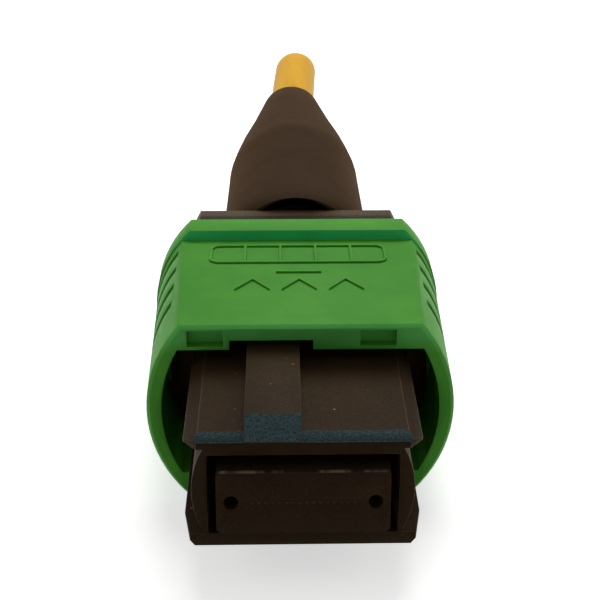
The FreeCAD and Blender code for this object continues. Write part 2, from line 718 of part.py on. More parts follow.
def draw_side_channels(sketch, bulge, root, height, outer, middle="0"):
    """Two regions outside the side walls; the walls bulge from root to the given width."""
    top = f"({middle} + ({height})/2)"
    foot_height = f"({middle} - ({height})/2)"
    for side in (1, -1):
        first = sketch.GeometryCount
        foot = side * number(root) / 2
        belly = side * number(bulge) / 2
        far = side * number(outer) / 2
        upper, lower = number(top), number(foot_height)
        low, high = Vector(foot, lower, 0), Vector(foot, upper, 0)
        sketch.addGeometry(Part.Arc(low, Vector(belly, number(middle), 0), high), False)
        sketch.addGeometry(Part.LineSegment(high, Vector(far, upper, 0)), False)
        sketch.addGeometry(Part.LineSegment(Vector(far, upper, 0), Vector(far, lower, 0)), False)
        sketch.addGeometry(Part.LineSegment(Vector(far, lower, 0), low), False)
        join(sketch, first + 1, 1, first)
        sketch.addConstraint(Sketcher.Constraint("Coincident", first + 1, 2, first + 2, 1))
        sketch.addConstraint(Sketcher.Constraint("Coincident", first + 2, 2, first + 3, 1))
        join(sketch, first + 3, 2, first)
        pin(sketch, first + 1, 1, f"{side} * ({root})/2", top)
        pin(sketch, first + 2, 1, f"{side} * ({outer})/2", top)
        pin(sketch, first + 3, 1, f"{side} * ({outer})/2", foot_height)
        pin(sketch, first + 3, 2, f"{side} * ({root})/2", foot_height)
        rise = f"(({bulge}) - ({root}))"
        constrain(sketch, f"(({height})^2 + {rise}^2) / (4 * {rise})", "Radius", first)
    return sketch


def draw_pair(sketch, inner, outer, height, middle="0"):
    """Two rectangles, one on each side of the plug, between two distances from its middle."""
    for side in ("", "-"):
        draw_rectangle(sketch, f"{side}({inner})", f"{side}({outer})",
                       f"{middle} - ({height})/2", f"{middle} + ({height})/2")
    return sketch


def cut_front_corners(body, name, height, thickness, inset):
    """Slants the two front corners of a nose plate, from a view from above."""
    corners = top_view(body, name, height)
    for side in ("", "-"):
        draw_outline(corners, [
            (f"{side}(nose_width/2 - 2 * {inset})", "nose_setback - corner_length"),
            (f"{side}(nose_width/2 + {inset})", "nose_setback + 2 * corner_length"),
            (f"{side}(nose_width/2 + {inset})", "nose_setback - corner_length"),
        ])
    cut_pocket(body, corners, thickness)


def make_inner_housing():
    body = make_body("inner_housing")
    half_w, half_h = "nose_width/2", "nose_height/2"
    shoulder = "(nose_height/2 - nose_bevel)"
    keel = "(nose_height/2 - keel_bevel)"
    nose = section_at(body, "nose_outline", "nose_setback")
    draw_outline(nose, [
        ("-nose_crown/2", half_h), ("nose_crown/2", half_h),
        (half_w, shoulder), (half_w, f"-{keel}"),
        ("keel_crown/2", f"-{half_h}"), ("-keel_crown/2", f"-{half_h}"),
        (f"-{half_w}", f"-{keel}"), (f"-{half_w}", shoulder),
    ])
    add_pad(body, nose, "body_start - nose_setback")
    guide = section_at(body, "guide_body", "body_start")
    draw_barrel(guide, "body_width", "body_crown", "body_height")
    add_pad(body, guide, "body_end - body_start")

    lead = side_view(body, "lead_in")
    for sign in ("", "-"):
        draw_outline(lead, [
            ("nose_setback", f"{sign}({half_h} - lead_drop)"),
            ("nose_setback + lead_length", f"{sign}({half_h})"),
            ("nose_setback", f"{sign}({half_h} + lead_drop)"),
        ])
    cut_across(body, lead, "2 * nose_width")
    key_top = f"({half_h} + key_height)"
    key = side_view(body, "key_side", "key_centre")
    draw_outline(key, [
        ("nose_setback", "0"), ("nose_setback", f"{half_h} - lead_drop"),
        ("nose_setback + key_height", key_top),
        ("body_start + lead_length", key_top), ("body_start + lead_length", "0"),
    ])
    add_both_ways(body, key, "key_width")

    channels = section_at(body, "latch_channels", "nose_setback")
    draw_side_channels(channels, "side_bulge", "side_root", "side_gap_height", "nose_width + 1",
                       "side_gap_centre")
    cut_pocket(body, channels, "latch_start - nose_setback")
    roof, floor = "(side_gap_centre + side_gap_height/2)", "(side_gap_centre - side_gap_height/2)"
    cut_front_corners(body, "top_corners", half_h, f"{half_h} - {roof}", "corner_inset")
    cut_front_corners(body, "bottom_corners", floor, f"{half_h} + {floor}", "keel_inset")
    latches = section_at(body, "latch_recesses", "latch_start")
    draw_pair(latches, "latch_width/2", "nose_width/2 + lead_length", "side_gap_height",
              "side_gap_centre")
    cut_pocket(body, latches, "latch_length")

    mouth = section_at(body, "mouth", "nose_setback")
    draw_rounded(mouth, "mouth_width", "mouth_height", "mouth_corner")
    cut_pocket(body, mouth, "mouth_depth")
    passage = section_at(body, "ferrule_guide", "nose_setback")
    draw_centred(passage, "ferrule_width + 2 * ferrule_play", "ferrule_height + 2 * ferrule_play")
    cut_pocket(body, passage, "flange_start - nose_setback")
    chamber = section_at(body, "spring_chamber", "flange_start - spring_gap")
    draw_centred(chamber, CHAMBER_WIDTH, CHAMBER_HEIGHT)
    cut_pocket(body, chamber, "body_end - flange_start + spring_gap")
    catches = section_at(body, "catch_recesses", "catch_start")
    draw_centred(catches, f"{CHAMBER_WIDTH} + 2 * catch_depth", "catch_height")
    cut_pocket(body, catches, "catch_length")
    grooves = section_at(body, "spring_channels", "channel_start")
    draw_pair(grooves, "channel_floor/2", "body_width/2 + lead_length", "channel_height")
    cut_pocket(body, grooves, "channel_end - channel_start")
    return body


# ---------------------------------------------------------------- coupling sleeve

RIM_START = "(shell_start + shell_length - rim_length)"
SHELL_END = "(shell_start + shell_length)"


def make_outer_housing():
    """Push-pull sleeve: waisted shell, raised rear rim, grooved sides and a through opening."""
    body = make_body("outer_housing")
    front = section_at(body, "shell_front", "shell_start")
    draw_barrel(front, "shell_width", "shell_crown", "shell_height")
    waist = section_at(body, "shell_waist", RIM_START)
    draw_barrel(waist, "waist_width", "waist_crown", "waist_height")
    add_loft(body, front, waist)
    rim = section_at(body, "shell_rim", RIM_START)
    draw_barrel(rim, "rim_width", "rim_crown", "rim_height")
    add_pad(body, rim, "rim_length")
    bevel_edges(body, "rim_bevel", lambda point: near(point.y, SHELL_END), "rim_edge")
    bevel_edges(body, "front_bevel", lambda point: near(point.y, "shell_start"), "shell_edge")

    grooves = section_at(body, "grip_groove", "grip_first")
    draw_side_channels(grooves, "(shell_width + waist_width)/2 - 2 * grip_depth",
                       "(shell_crown + waist_crown)/2", "grip_height", "rim_width + 1")
    groove = cut_pocket(body, grooves, "grip_width")
    repeat(body, groove, "Y_Axis", "grip_count", "grip_spacing")

    opening = section_at(body, "shell_opening", "shell_start")
    draw_barrel(opening, "bore_width", "bore_crown", "bore_height")
    cut_pocket(body, opening, "shell_length")
    notch = section_at(body, "key_notch", "shell_start")
    draw_rectangle(notch, "notch_low", "notch_high", "0", "notch_height")
    cut_pocket(body, notch, "notch_depth")
    recesses = section_at(body, "front_recesses", "shell_start")
    for side in ("-", "+"):
        middle = f"recess_centre {side} recess_spread/2"
        for low, high in (("recess_floor", "recess_roof"), ("-recess_roof", "-recess_floor")):
            draw_rectangle(recesses, f"{middle} - recess_width/2", f"{middle} + recess_width/2",
                           low, high)
    cut_pocket(body, recesses, "recess_depth")
    ledges = section_at(body, "spring_ledges", LEDGE_FRONT)
    draw_pair(ledges, "ledge_span/2", "(bore_width + shell_width)/4", "ledge_height")
    add_pad(body, ledges, "ledge_length")
    return body


# ---------------------------------------------------------------- rear body and crimp

NECK_START = "(body_end + block_length)"
NECK_END = "(body_end + block_length + neck_length)"
NECK_RADIUS = "neck_diameter/2"
FOLD_START = f"({NECK_END} + crimp_gap)"
FOLD_END = f"({NECK_END} + crimp_gap + fold_wall)"
JACKET_START = f"({FOLD_END} + crimp_gap)"
TAIL_END = f"({JACKET_START} + sleeve_tail)"
JACKET_INSIDE = "(cable_diameter/2 - jacket_wall)"
TUBE_INSIDE = f"({JACKET_INSIDE} - crimp_gap - tube_wall)"
YARN_OUTSIDE = f"({NECK_RADIUS} + crimp_gap + yarn_wall)"
SLEEVE_INSIDE = f"({YARN_OUTSIDE} + crimp_gap)"
SLEEVE_OUTSIDE = f"({SLEEVE_INSIDE} + sleeve_wall)"
TAIL_INSIDE = "(cable_diameter/2 + crimp_gap)"
TAIL_OUTSIDE = f"({TAIL_INSIDE} + sleeve_wall)"
SLEEVE_START = f"({NECK_START} + sleeve_front)"


def make_spring_push():
    """Rear body: block, latched insert that backs the ferrule spring, and crimp neck."""
    body = make_body("spring_push")
    block = section_at(body, "rear_block", "body_end")
    draw_barrel(block, "block_width", "block_crown", "block_height")
    add_pad(body, block, "block_length")
    insert = section_at(body, "rear_insert", PLUG_FRONT)
    draw_centred(insert, PLUG_WIDTH, PLUG_HEIGHT)
    add_pad(body, insert, "plug_length")
    arms = section_at(body, "latch_arms", f"{PLUG_FRONT} - arm_reach")
    draw_pair(arms, f"{PLUG_WIDTH}/2 - arm_thickness", f"{PLUG_WIDTH}/2", "arm_height")
    add_pad(body, arms, "arm_reach")
    hooks = section_at(body, "latch_hooks", "catch_start + hook_gap")
    draw_pair(hooks, f"{PLUG_WIDTH}/2 - arm_thickness/2",
              f"{CHAMBER_WIDTH}/2 + catch_depth - hook_gap", "catch_height - 2 * hook_gap")
    add_pad(body, hooks, "catch_length - 2 * hook_gap")
    neck = section_at(body, "crimp_neck", NECK_START)
    draw_circle(neck, "0", "0", "neck_diameter")
    add_pad(body, neck, "neck_length")

    ring = section_at(body, "neck_ring", f"{SLEEVE_START} + neck_length/(2 * neck_ring_count)")
    draw_circle(ring, "0", "0", "neck_diameter + 1")
    draw_circle(ring, "0", "0", "neck_diameter - 2 * neck_ring_depth")
    cut = cut_pocket(body, ring, "neck_length/(3 * neck_ring_count)")
    repeat(body, cut, "Y_Axis", "neck_ring_count", "neck_length/(neck_ring_count + 1)")

    wide = section_at(body, "passage_front", PLUG_FRONT)
    draw_chamfered(wide, "passage_width", "passage_height", "passage_height/4")
    round_end = section_at(body, "passage_rear", NECK_START)
    draw_chamfered(round_end, "neck_bore", "neck_bore", "neck_bore * 0.29")
    cut_loft(body, wide, round_end)
    bore = section_at(body, "neck_bore_hole", NECK_START)
    draw_chamfered(bore, "neck_bore", "neck_bore", "neck_bore * 0.29")
    cut_pocket(body, bore, "neck_length")
    return body


def make_turned(label, profile):
    """A piece turned round the cable from its half section, corners as (along, radius)."""
    body = make_body(label)
    sketch = side_view(body, label + "_profile")
    draw_outline(sketch, profile)
    turn(body, sketch)
    return body


def make_crimp_sleeve():
    return make_turned("crimp_sleeve", [
        (SLEEVE_START, SLEEVE_INSIDE), (JACKET_START, SLEEVE_INSIDE),
        (JACKET_START, TAIL_INSIDE), (TAIL_END, TAIL_INSIDE),
        (TAIL_END, TAIL_OUTSIDE), (f"{JACKET_START} + sleeve_wall", TAIL_OUTSIDE),
        (f"{JACKET_START} + sleeve_wall", SLEEVE_OUTSIDE), (SLEEVE_START, SLEEVE_OUTSIDE),
    ])


def make_support_tube():
    outside = f"{JACKET_INSIDE} - crimp_gap"
    return make_turned("support_tube", [
        (JACKET_START, TUBE_INSIDE), (TAIL_END, TUBE_INSIDE),
        (TAIL_END, outside), (JACKET_START, outside),
    ])


def make_aramid_yarn():
    """Strength yarn along the cable, turned out over the crimp neck at its end."""
    core = "bundle_diameter/2 + core_gap"
    filled = f"{JACKET_INSIDE} - crimp_gap"
    narrow = f"{TUBE_INSIDE} - crimp_gap"
    on_neck = f"{NECK_RADIUS} + crimp_gap"
    return make_turned("aramid_yarn", [
        ("cable_end", core), (FOLD_START, core), (FOLD_START, on_neck),
        (SLEEVE_START, on_neck), (SLEEVE_START, YARN_OUTSIDE), (FOLD_END, YARN_OUTSIDE),
        (FOLD_END, narrow), (f"{TAIL_END} + crimp_gap", narrow),
        (f"{TAIL_END} + crimp_gap", filled), ("cable_end", filled),
    ])


def make_cable_jacket():
    return make_turned("cable_jacket", [
        (JACKET_START, JACKET_INSIDE), ("cable_end", JACKET_INSIDE),
        ("cable_end", "cable_diameter/2"), (JACKET_START, "cable_diameter/2"),
    ])


def make_strain_boot():
    """Rubber boot: wide mouth against the rear body, straight barrel, then a cone to the cable."""
    shoulder = f"({NECK_START} + boot_barrel)"
    leaving = f"({NECK_START} + boot_barrel + boot_taper)"
    mouth_end = f"{NECK_START} + boot_mouth_depth"
    step = f"{JACKET_START} + sleeve_wall + boot_gap"
    body = make_turned("strain_boot", [
        (NECK_START, "boot_mouth/2"), (mouth_end, "boot_mouth/2"),
        (mouth_end, f"{SLEEVE_OUTSIDE} + boot_gap"), (step, f"{SLEEVE_OUTSIDE} + boot_gap"),
        (step, f"{TAIL_OUTSIDE} + boot_gap"), (f"{TAIL_END} + boot_gap", f"{TAIL_OUTSIDE} + boot_gap"),
        (f"{TAIL_END} + boot_gap", "cable_diameter/2 + boot_gap"),
        (leaving, "cable_diameter/2 + boot_gap"), (leaving, "boot_exit_diameter/2"),
        (f"{shoulder} + boot_shoulder_length/2",
         "(boot_shoulder_diameter - (boot_shoulder_diameter - boot_exit_diameter)"
         " * boot_shoulder_length/2 / boot_taper)/2"),
        (shoulder, "boot_shoulder_diameter/2 - boot_shoulder_drop"),
        (f"{shoulder} - boot_shoulder_length/2",
         "(boot_shoulder_diameter + (boot_front_diameter - boot_shoulder_diameter)"
         " * boot_shoulder_length/2 / boot_barrel)/2"),
        (NECK_START, "boot_front_diameter/2"),
    ])

    def outer_edge(place, diameter):
        def test(point):
            reach = math.hypot(point.x, point.z)
            return near(point.y, place) and near(reach, f"{diameter}/2")
        return test

    bevel_edges(body, "mouth_bevel", outer_edge(NECK_START, "boot_front_diameter"), "boot_edge")
    bevel_edges(body, "exit_bevel", outer_edge(leaving, "boot_exit_diameter"), "boot_lip")
    return body


# ---------------------------------------------------------------- export

def check_and_export(nodes):
    doc.recompute()
    for item in doc.Objects:
        if "Invalid" in item.State or "Error" in item.State:
            raise RuntimeError(f"{item.Label} failed: {item.State}")
    os.makedirs("parts", exist_ok=True)
    for node in nodes:
        shape = node.Shape
        if shape.isNull() or not shape.isValid() or not shape.Solids:
            raise RuntimeError(f"{node.Label} has no valid shape")
        shape.exportStep(f"parts/{node.Label}.step")
        print(f"{node.Label}: {len(shape.Solids)} solid, {shape.Volume:.3f} mm3")


check_and_export([
    make_ferrule(),
    make_fibres(),
    make_window_epoxy(),
    make_ferrule_boot(),
    make_pin_clamp(),
    make_fibre_ribbon(),
    make_ferrule_spring(),
    make_coupling_spring("coupling_spring_left", -1),
    make_coupling_spring("coupling_spring_right", 1),
    make_inner_housing(),
    make_outer_housing(),
    make_spring_push(),
    make_crimp_sleeve(),
    make_support_tube(),
    make_aramid_yarn(),
    make_cable_jacket(),
    make_strain_boot(),
])
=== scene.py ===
# %% [markdown]
# # A push-pull plug for sixteen optical fibres
#
# The real plug is about as long as a thumb. A black nose holds a small block, the ferrule, in whose
# sloping end face sixteen glass fibres end between two pin holes. A green coupling sleeve slides on the
# nose, and a rubber boot guards the yellow cable behind. Each cell below dresses one piece of the packed
# model or finishes one surface. Lengths are metres in the scene, y runs back along the plug from the end
# face, x runs across it and z is up.

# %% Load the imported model
import math
import random

import bpy
from mathutils import Euler, Matrix, Vector


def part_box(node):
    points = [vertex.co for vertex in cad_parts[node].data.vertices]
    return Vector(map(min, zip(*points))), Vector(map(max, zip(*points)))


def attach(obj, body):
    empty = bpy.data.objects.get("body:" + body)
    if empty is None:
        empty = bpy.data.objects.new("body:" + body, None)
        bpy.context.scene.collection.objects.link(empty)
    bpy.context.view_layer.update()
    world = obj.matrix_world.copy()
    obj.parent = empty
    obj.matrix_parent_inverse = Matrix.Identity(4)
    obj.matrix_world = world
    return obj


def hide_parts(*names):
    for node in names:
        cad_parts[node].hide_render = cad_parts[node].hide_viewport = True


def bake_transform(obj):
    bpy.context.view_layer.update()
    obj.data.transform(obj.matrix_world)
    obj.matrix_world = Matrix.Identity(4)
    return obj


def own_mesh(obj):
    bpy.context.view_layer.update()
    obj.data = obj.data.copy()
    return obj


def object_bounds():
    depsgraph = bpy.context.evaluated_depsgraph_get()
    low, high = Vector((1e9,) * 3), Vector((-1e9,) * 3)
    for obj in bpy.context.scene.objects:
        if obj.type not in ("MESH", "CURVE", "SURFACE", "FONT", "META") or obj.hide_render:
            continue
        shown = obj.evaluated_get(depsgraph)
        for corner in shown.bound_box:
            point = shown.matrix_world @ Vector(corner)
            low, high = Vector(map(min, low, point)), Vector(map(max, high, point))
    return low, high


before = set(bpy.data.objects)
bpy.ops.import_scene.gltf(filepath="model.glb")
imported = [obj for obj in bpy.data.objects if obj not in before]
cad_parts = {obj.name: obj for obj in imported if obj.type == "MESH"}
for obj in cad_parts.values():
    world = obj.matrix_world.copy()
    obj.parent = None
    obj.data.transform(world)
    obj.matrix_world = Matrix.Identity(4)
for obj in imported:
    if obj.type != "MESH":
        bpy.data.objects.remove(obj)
CAD_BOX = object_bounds()
MM = 0.001

# %% [markdown]
# ## Where we look from
#
# A plug this small is looked at from less than a hand's width away, from the front and from above. A lens
# of about 73 mm on a full-size sensor lets it fill the frame from there. The sideways and downward shift
# of the film moves the plug in the frame without changing how its lines converge.

# %% Camera
CAMERA_PLACE = Vector((-0.797, -36.187, 27.244)) * MM
CAMERA_AIM = Vector((0.609, 15.957, 2.399)) * MM
CAMERA_ROLL = math.radians(0.358)
CAMERA_LENS = 72.93
CAMERA_SHIFT = (-0.0166, -0.0747)


def add_camera():
    data = bpy.data.cameras.new("camera")
    camera = bpy.data.objects.new("camera", data)
    bpy.context.scene.collection.objects.link(camera)
    aim = (CAMERA_AIM - CAMERA_PLACE).to_track_quat("-Z", "Y").to_matrix().to_4x4()
    roll = Matrix.Rotation(CAMERA_ROLL, 4, "Z")
    camera.matrix_world = Matrix.Translation(CAMERA_PLACE) @ aim @ roll
    data.lens = CAMERA_LENS
    data.sensor_width = 36
    data.shift_x, data.shift_y = CAMERA_SHIFT
    data.clip_start = 1 * MM
    data.clip_end = 10
    bpy.context.scene.camera = camera


add_camera()
print("camera distance in mm:", round((CAMERA_AIM - CAMERA_PLACE).length / MM, 1))

# %% [markdown]
# ## Soft light over a pale table
#
# Small plastics look right under large soft lamps. The main lamp hangs above and behind the plug, so that
# the tops are bright and the faces turned to us stay deep, and two weak ones at the sides open the
# shadows. The background is white for what the camera, a mirror or clear glass sees, while the light that
# falls on the plug from it is kept low.

# %% Nodes and colours
def add_node(tree, kind, inputs=None, **settings):
    """One node with its settings, and values or sockets for its inputs by name or number."""
    node = tree.nodes.new(kind)
    for name, value in settings.items():
        setattr(node, name, value)
    for name, value in (inputs or {}).items():
        if isinstance(value, bpy.types.NodeSocket):
            tree.links.new(value, node.inputs[name])
        else:
            node.inputs[name].default_value = value
    return node


def hex_colour(text):
    """An sRGB hex value as the linear colour that Blender mixes with."""
    def linear(part):
        value = int(part, 16) / 255
        return value / 12.92 if value <= 0.04045 else ((value + 0.055) / 1.055) ** 2.4
    return (linear(text[1:3]), linear(text[3:5]), linear(text[5:7]), 1.0)


def seen_directly(tree):
    """1 for rays from the camera or from glossy and clear surfaces, and 0 for the light itself."""
    path = add_node(tree, "ShaderNodeLightPath")
    mirror = add_node(tree, "ShaderNodeMath", {0: path.outputs["Is Glossy Ray"],
                      1: path.outputs["Is Transmission Ray"]}, operation="MAXIMUM")
    both = add_node(tree, "ShaderNodeMath", {0: path.outputs["Is Camera Ray"], 1: mirror.outputs[0]},
                    operation="MAXIMUM")
    return both.outputs[0]


print("mid grey as Blender mixes it:", round(hex_colour("#808080")[0], 3))

# %% World
WORLD_LIGHT = 0.20


def set_world():
    world = bpy.data.worlds.new("studio")
    bpy.context.scene.world = world
    world.use_nodes = True
    tree = world.node_tree
    tree.nodes.clear()
    strength = add_node(tree, "ShaderNodeMapRange", {"Value": seen_directly(tree), "To Min": WORLD_LIGHT,
                        "To Max": 1.0})
    sky = add_node(tree, "ShaderNodeBackground", {"Color": hex_colour("#FFFFFF"),
                   "Strength": strength.outputs[0]})
    add_node(tree, "ShaderNodeOutputWorld", {"Surface": sky.outputs[0]})


set_world()
bpy.context.scene.view_settings.view_transform = "Standard"
print("light from the world:", WORLD_LIGHT)

# %% Lamps
LAMP_AIM = Vector((0, 15, 0))
# Each lamp has a name, a place and a width in millimetres, and a power in watts.
LAMPS = (("lamp_above", (10, 112, 146), 130, 0.225),
         ("lamp_left", (-140, -10, 90), 90, 0.024),
         ("lamp_right", (140, 10, 90), 90, 0.022))


def add_lamp(name, place, width, power):
    data = bpy.data.lights.new(name, "AREA")
    data.shape = "DISK"
    data.size = width * MM
    data.energy = power
    lamp = bpy.data.objects.new(name, data)
    bpy.context.scene.collection.objects.link(lamp)
    lamp.location = Vector(place) * MM
    lamp.rotation_mode = "QUATERNION"
    lamp.rotation_quaternion = ((LAMP_AIM - Vector(place)) * MM).to_track_quat("-Z", "Y")


for lamp in LAMPS:
    add_lamp(*lamp)
print("lamps:", len(bpy.data.lights))

# %% Floor
FLOOR_SIZE = 2.0
FLOOR_GLOW = 0.6


def add_floor():
    bpy.ops.mesh.primitive_plane_add(size=FLOOR_SIZE, location=(0, 0, CAD_BOX[0].z))
    floor = bpy.context.object
    floor.name = "table_top"
    material = bpy.data.materials.new("white_table_laminate")
    material.use_nodes = True
    tree = material.node_tree
    tree.nodes.clear()
    coat = add_node(tree, "ShaderNodeBsdfDiffuse", {"Color": hex_colour("#F4F4F2")})
    glow_level = add_node(tree, "ShaderNodeMath", {0: seen_directly(tree), 1: FLOOR_GLOW},
                          operation="MULTIPLY")
    glow = add_node(tree, "ShaderNodeEmission", {"Strength": glow_level.outputs[0]})
    both = add_node(tree, "ShaderNodeAddShader", {0: coat.outputs[0], 1: glow.outputs[0]})
    add_node(tree, "ShaderNodeOutputMaterial", {"Surface": both.outputs[0]})
    floor.data.materials.append(material)


add_floor()
print("height of the floor in mm:", round(CAD_BOX[0].z / MM, 2))

# %% [markdown]
# ## Ways of working
#
# Blender's tolerances suit objects of about a metre, and this plug's edges are a tenth of a millimetre
# wide. So every piece is modelled a thousand times too large, with one Blender unit to the millimetre,
# and is scaled down when it is done.

# %% Selecting and editing
def deselect():
    if bpy.context.mode != "OBJECT":
        bpy.ops.object.mode_set(mode="OBJECT")
    bpy.ops.object.select_all(action="DESELECT")


def focus(piece):
    deselect()
    piece.select_set(True)
    bpy.context.view_layer.objects.active = piece


def edit(piece, select="DESELECT"):
    focus(piece)
    bpy.ops.object.mode_set(mode="EDIT")
    bpy.ops.mesh.select_all(action=select)


def leave():
    bpy.ops.object.mode_set(mode="OBJECT")


def pick_points(piece, test):
    """Opens edit mode with only those points selected whose place passes the test."""
    edit(piece)
    leave()
    for point in piece.data.vertices:
        point.select = test(point.co)
    print(piece.name, "points picked:", sum(point.select for point in piece.data.vertices))
    bpy.ops.object.mode_set(mode="EDIT")


deselect()
print("objects still selected:", len(bpy.context.selected_objects))

# %% Modifiers and joining
def apply_modifier(piece, kind, **settings):
    modifier = piece.modifiers.new(kind.lower(), kind)
    for name, value in settings.items():
        setattr(modifier, name, value)
    focus(piece)
    bpy.ops.object.modifier_apply(modifier=modifier.name)


def soften(piece, width, segments=2, angle=28, smooth=32, edge_finish=0):
    """A narrow rounding along the sharp edges, which catches the light as a moulded edge does."""
    while len(piece.data.materials) <= edge_finish:
        piece.data.materials.append(None)
    apply_modifier(piece, "BEVEL", width=width, segments=segments, limit_method="ANGLE",
                   angle_limit=math.radians(angle), use_clamp_overlap=True, material=edge_finish)
    bpy.ops.object.shade_smooth_by_angle(angle=math.radians(smooth))


def join(pieces, name):
    """One object from several, each with its own mesh."""
    focus(pieces[0])
    for piece in pieces:
        piece.select_set(True)
    bpy.ops.object.join()
    pieces[0].name = name
    return pieces[0]


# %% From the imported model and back
SAME_POINT = 0.0005
SAME_PLANE = math.radians(0.4)


def dress(piece, body, materials, replaces=()):
    """Scales a finished piece to metres and hands it to the frame."""
    focus(piece)
    piece.scale = (MM, MM, MM)
    bpy.ops.object.transform_apply(location=True, rotation=True, scale=True)
    faces = [face.material_index for face in piece.data.polygons]
    piece.data.materials.clear()
    for material in materials:
        piece.data.materials.append(material)
    for face, number in zip(piece.data.polygons, faces):
        face.material_index = min(number, len(materials) - 1)
    if body:
        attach(piece, body)
    if replaces:
        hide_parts(*replaces)
    print(piece.name, len(piece.data.polygons), "faces")


def merged_copy(node, name):
    """A copy of a CAD node in millimetres, its loose triangles joined into whole faces."""
    piece = bpy.data.objects.new(name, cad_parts[node].data.copy())
    bpy.context.scene.collection.objects.link(piece)
    piece.data.transform(Matrix.Scale(1 / MM, 4))
    for face in piece.data.polygons:
        face.material_index = 0
    edit(piece, "SELECT")
    bpy.ops.mesh.remove_doubles(threshold=SAME_POINT)
    bpy.ops.mesh.customdata_custom_splitnormals_clear()
    bpy.ops.mesh.dissolve_limited(angle_limit=SAME_PLANE)
    leave()
    return piece


def box_of(node):
    """A node's lowest and highest corner in millimetres."""
    low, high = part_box(node)
    return Vector(low) / MM, Vector(high) / MM


print("widest piece in mm:", round(max((box_of(node)[1] - box_of(node)[0]).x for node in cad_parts), 2))

# %% [markdown]
# ## Finishes
#
# Nearly everything here is injection-moulded. A moulded surface copies its steel mould, which was eroded
# by sparks to a fine even grain, and glass filler near the surface breaks the colour up. Nearly every
# pattern is noise whose size is given in millimetres. Real spark grain is about 0.03 mm wide, which is too
# fine to see here, so it is drawn up to four times as coarse. Dust shows only at the very peaks of its
# noise, so its specks are few.

# %% Patterns
def start_material(name):
    material = bpy.data.materials.new(name)
    material.use_nodes = True
    tree = material.node_tree
    tree.nodes.clear()
    where = add_node(tree, "ShaderNodeTexCoord").outputs["Object"]
    return material, tree, where


def grain(tree, where, size_mm, detail=2.0, stretch=(1, 1, 1)):
    """Noise whose lumps are about the given size, in millimetres."""
    place = add_node(tree, "ShaderNodeMapping", {"Vector": where, "Scale": stretch})
    noise = add_node(tree, "ShaderNodeTexNoise", {"Vector": place.outputs[0], "Scale": 1 / (size_mm * MM),
                     "Detail": detail})
    return noise.outputs["Fac"]


def spread(tree, value, low, high, from_low=0.35, from_high=0.65):
    """Noise stretched to run between two values."""
    return add_node(tree, "ShaderNodeMapRange", {"Value": value, "From Min": from_low,
                    "From Max": from_high, "To Min": low, "To Max": high}).outputs[0]


def blend_colours(tree, factor, first, second):
    """Two colours, each a hex value or a socket, mixed by a factor."""
    mix = add_node(tree, "ShaderNodeMix", data_type="RGBA")
    tree.links.new(factor, mix.inputs[0])
    for number, colour in ((6, first), (7, second)):
        if isinstance(colour, str):
            mix.inputs[number].default_value = hex_colour(colour)
        else:
            tree.links.new(colour, mix.inputs[number])
    return mix.outputs[2]


def ramp(tree, where, axis, start_mm, end_mm):
    """A value that runs from 0 to 1 between two places along an axis, and stays there past them."""
    axes = add_node(tree, "ShaderNodeSeparateXYZ", {0: where})
    return add_node(tree, "ShaderNodeMapRange", {"Value": axes.outputs[axis],
                    "From Min": start_mm * MM, "From Max": end_mm * MM}).outputs[0]


def cloudy(tree, where):
    """The broad clouds, a few millimetres wide, in which a moulded colour varies."""
    return spread(tree, grain(tree, where, 2.5, 3.0), 0.0, 1.0)


# %% Surfaces
DUST_SIZE = 0.22
DUST_PEAK = (0.77, 0.8)


def finish_material(tree, colour, roughness, height, depth_mm, **settings):
    """The surface itself: colour, roughness and a bump whose depth is in millimetres."""
    bump = add_node(tree, "ShaderNodeBump", {"Height": height, "Distance": depth_mm * MM, "Strength": 1.0})
    surface = add_node(tree, "ShaderNodeBsdfPrincipled", {"Base Color": colour, "Roughness": roughness,
                       "Normal": bump.outputs[0]})
    for name, value in settings.items():
        title = name.replace("_", " ").title().replace("Ior", "IOR")
        surface.inputs[title].default_value = hex_colour(value) if isinstance(value, str) else value
    add_node(tree, "ShaderNodeOutputMaterial", {"Surface": surface.outputs[0]})


def moulded(name, dark, light, grain_mm, roughness, depth_mm, specular, tint="#FFFFFF", dust=None, **more):
    """Moulded plastic: two near shades in clouds, spark-eroded grain, and perhaps a few specks of dust."""
    material, tree, where = start_material(name)
    specks = grain(tree, where, grain_mm, 3.0)
    colour = blend_colours(tree, cloudy(tree, where), dark, light)
    if dust:
        spots = spread(tree, grain(tree, where, DUST_SIZE, 1.0), 0.0, 1.0, *DUST_PEAK)
        colour = blend_colours(tree, spots, colour, dust)
    rough = spread(tree, specks, roughness - 0.06, roughness + 0.08)
    finish_material(tree, colour, rough, specks, depth_mm, specular_ior_level=specular,
                    specular_tint=tint, **more)
    return material


print("nodes in the table top:", len(bpy.data.materials["white_table_laminate"].node_tree.nodes))

# %% [markdown]
# ## Coupling sleeve
#
# The green sleeve is what the fingers pull. It is moulded in polyester with a fine eroded grain, so its
# highlights are broad and soft. Its outline could be modelled again from a cube, but the imported model
# already has the barrel sides, the raised rear rim and the grip grooves. So a copy of that mesh is joined
# into whole faces, and its hard edges are rounded a little, because no moulded edge is sharp. The step up
# to the rim and the front lip are smoother than the rest, and both carry painted light: the step is painted
# a brighter, bluer green that stands for the light on this face turned to the front, and the lip is painted
# paler, a painted highlight. Both painted shades fade out down the sides.

# %% Coupling sleeve
NEAR = 0.1
RIM_LENGTH = 1.5
LIP_DEPTH = 0.5
TOP_PROBES = (8.0, 14.0)
GREEN_SHADES = ("#429029", "#4B992D")
GREEN_PLASTIC = moulded("green_moulded_polyester", *GREEN_SHADES, grain_mm=0.07, roughness=0.5,
                        depth_mm=0.004, specular=0.06)


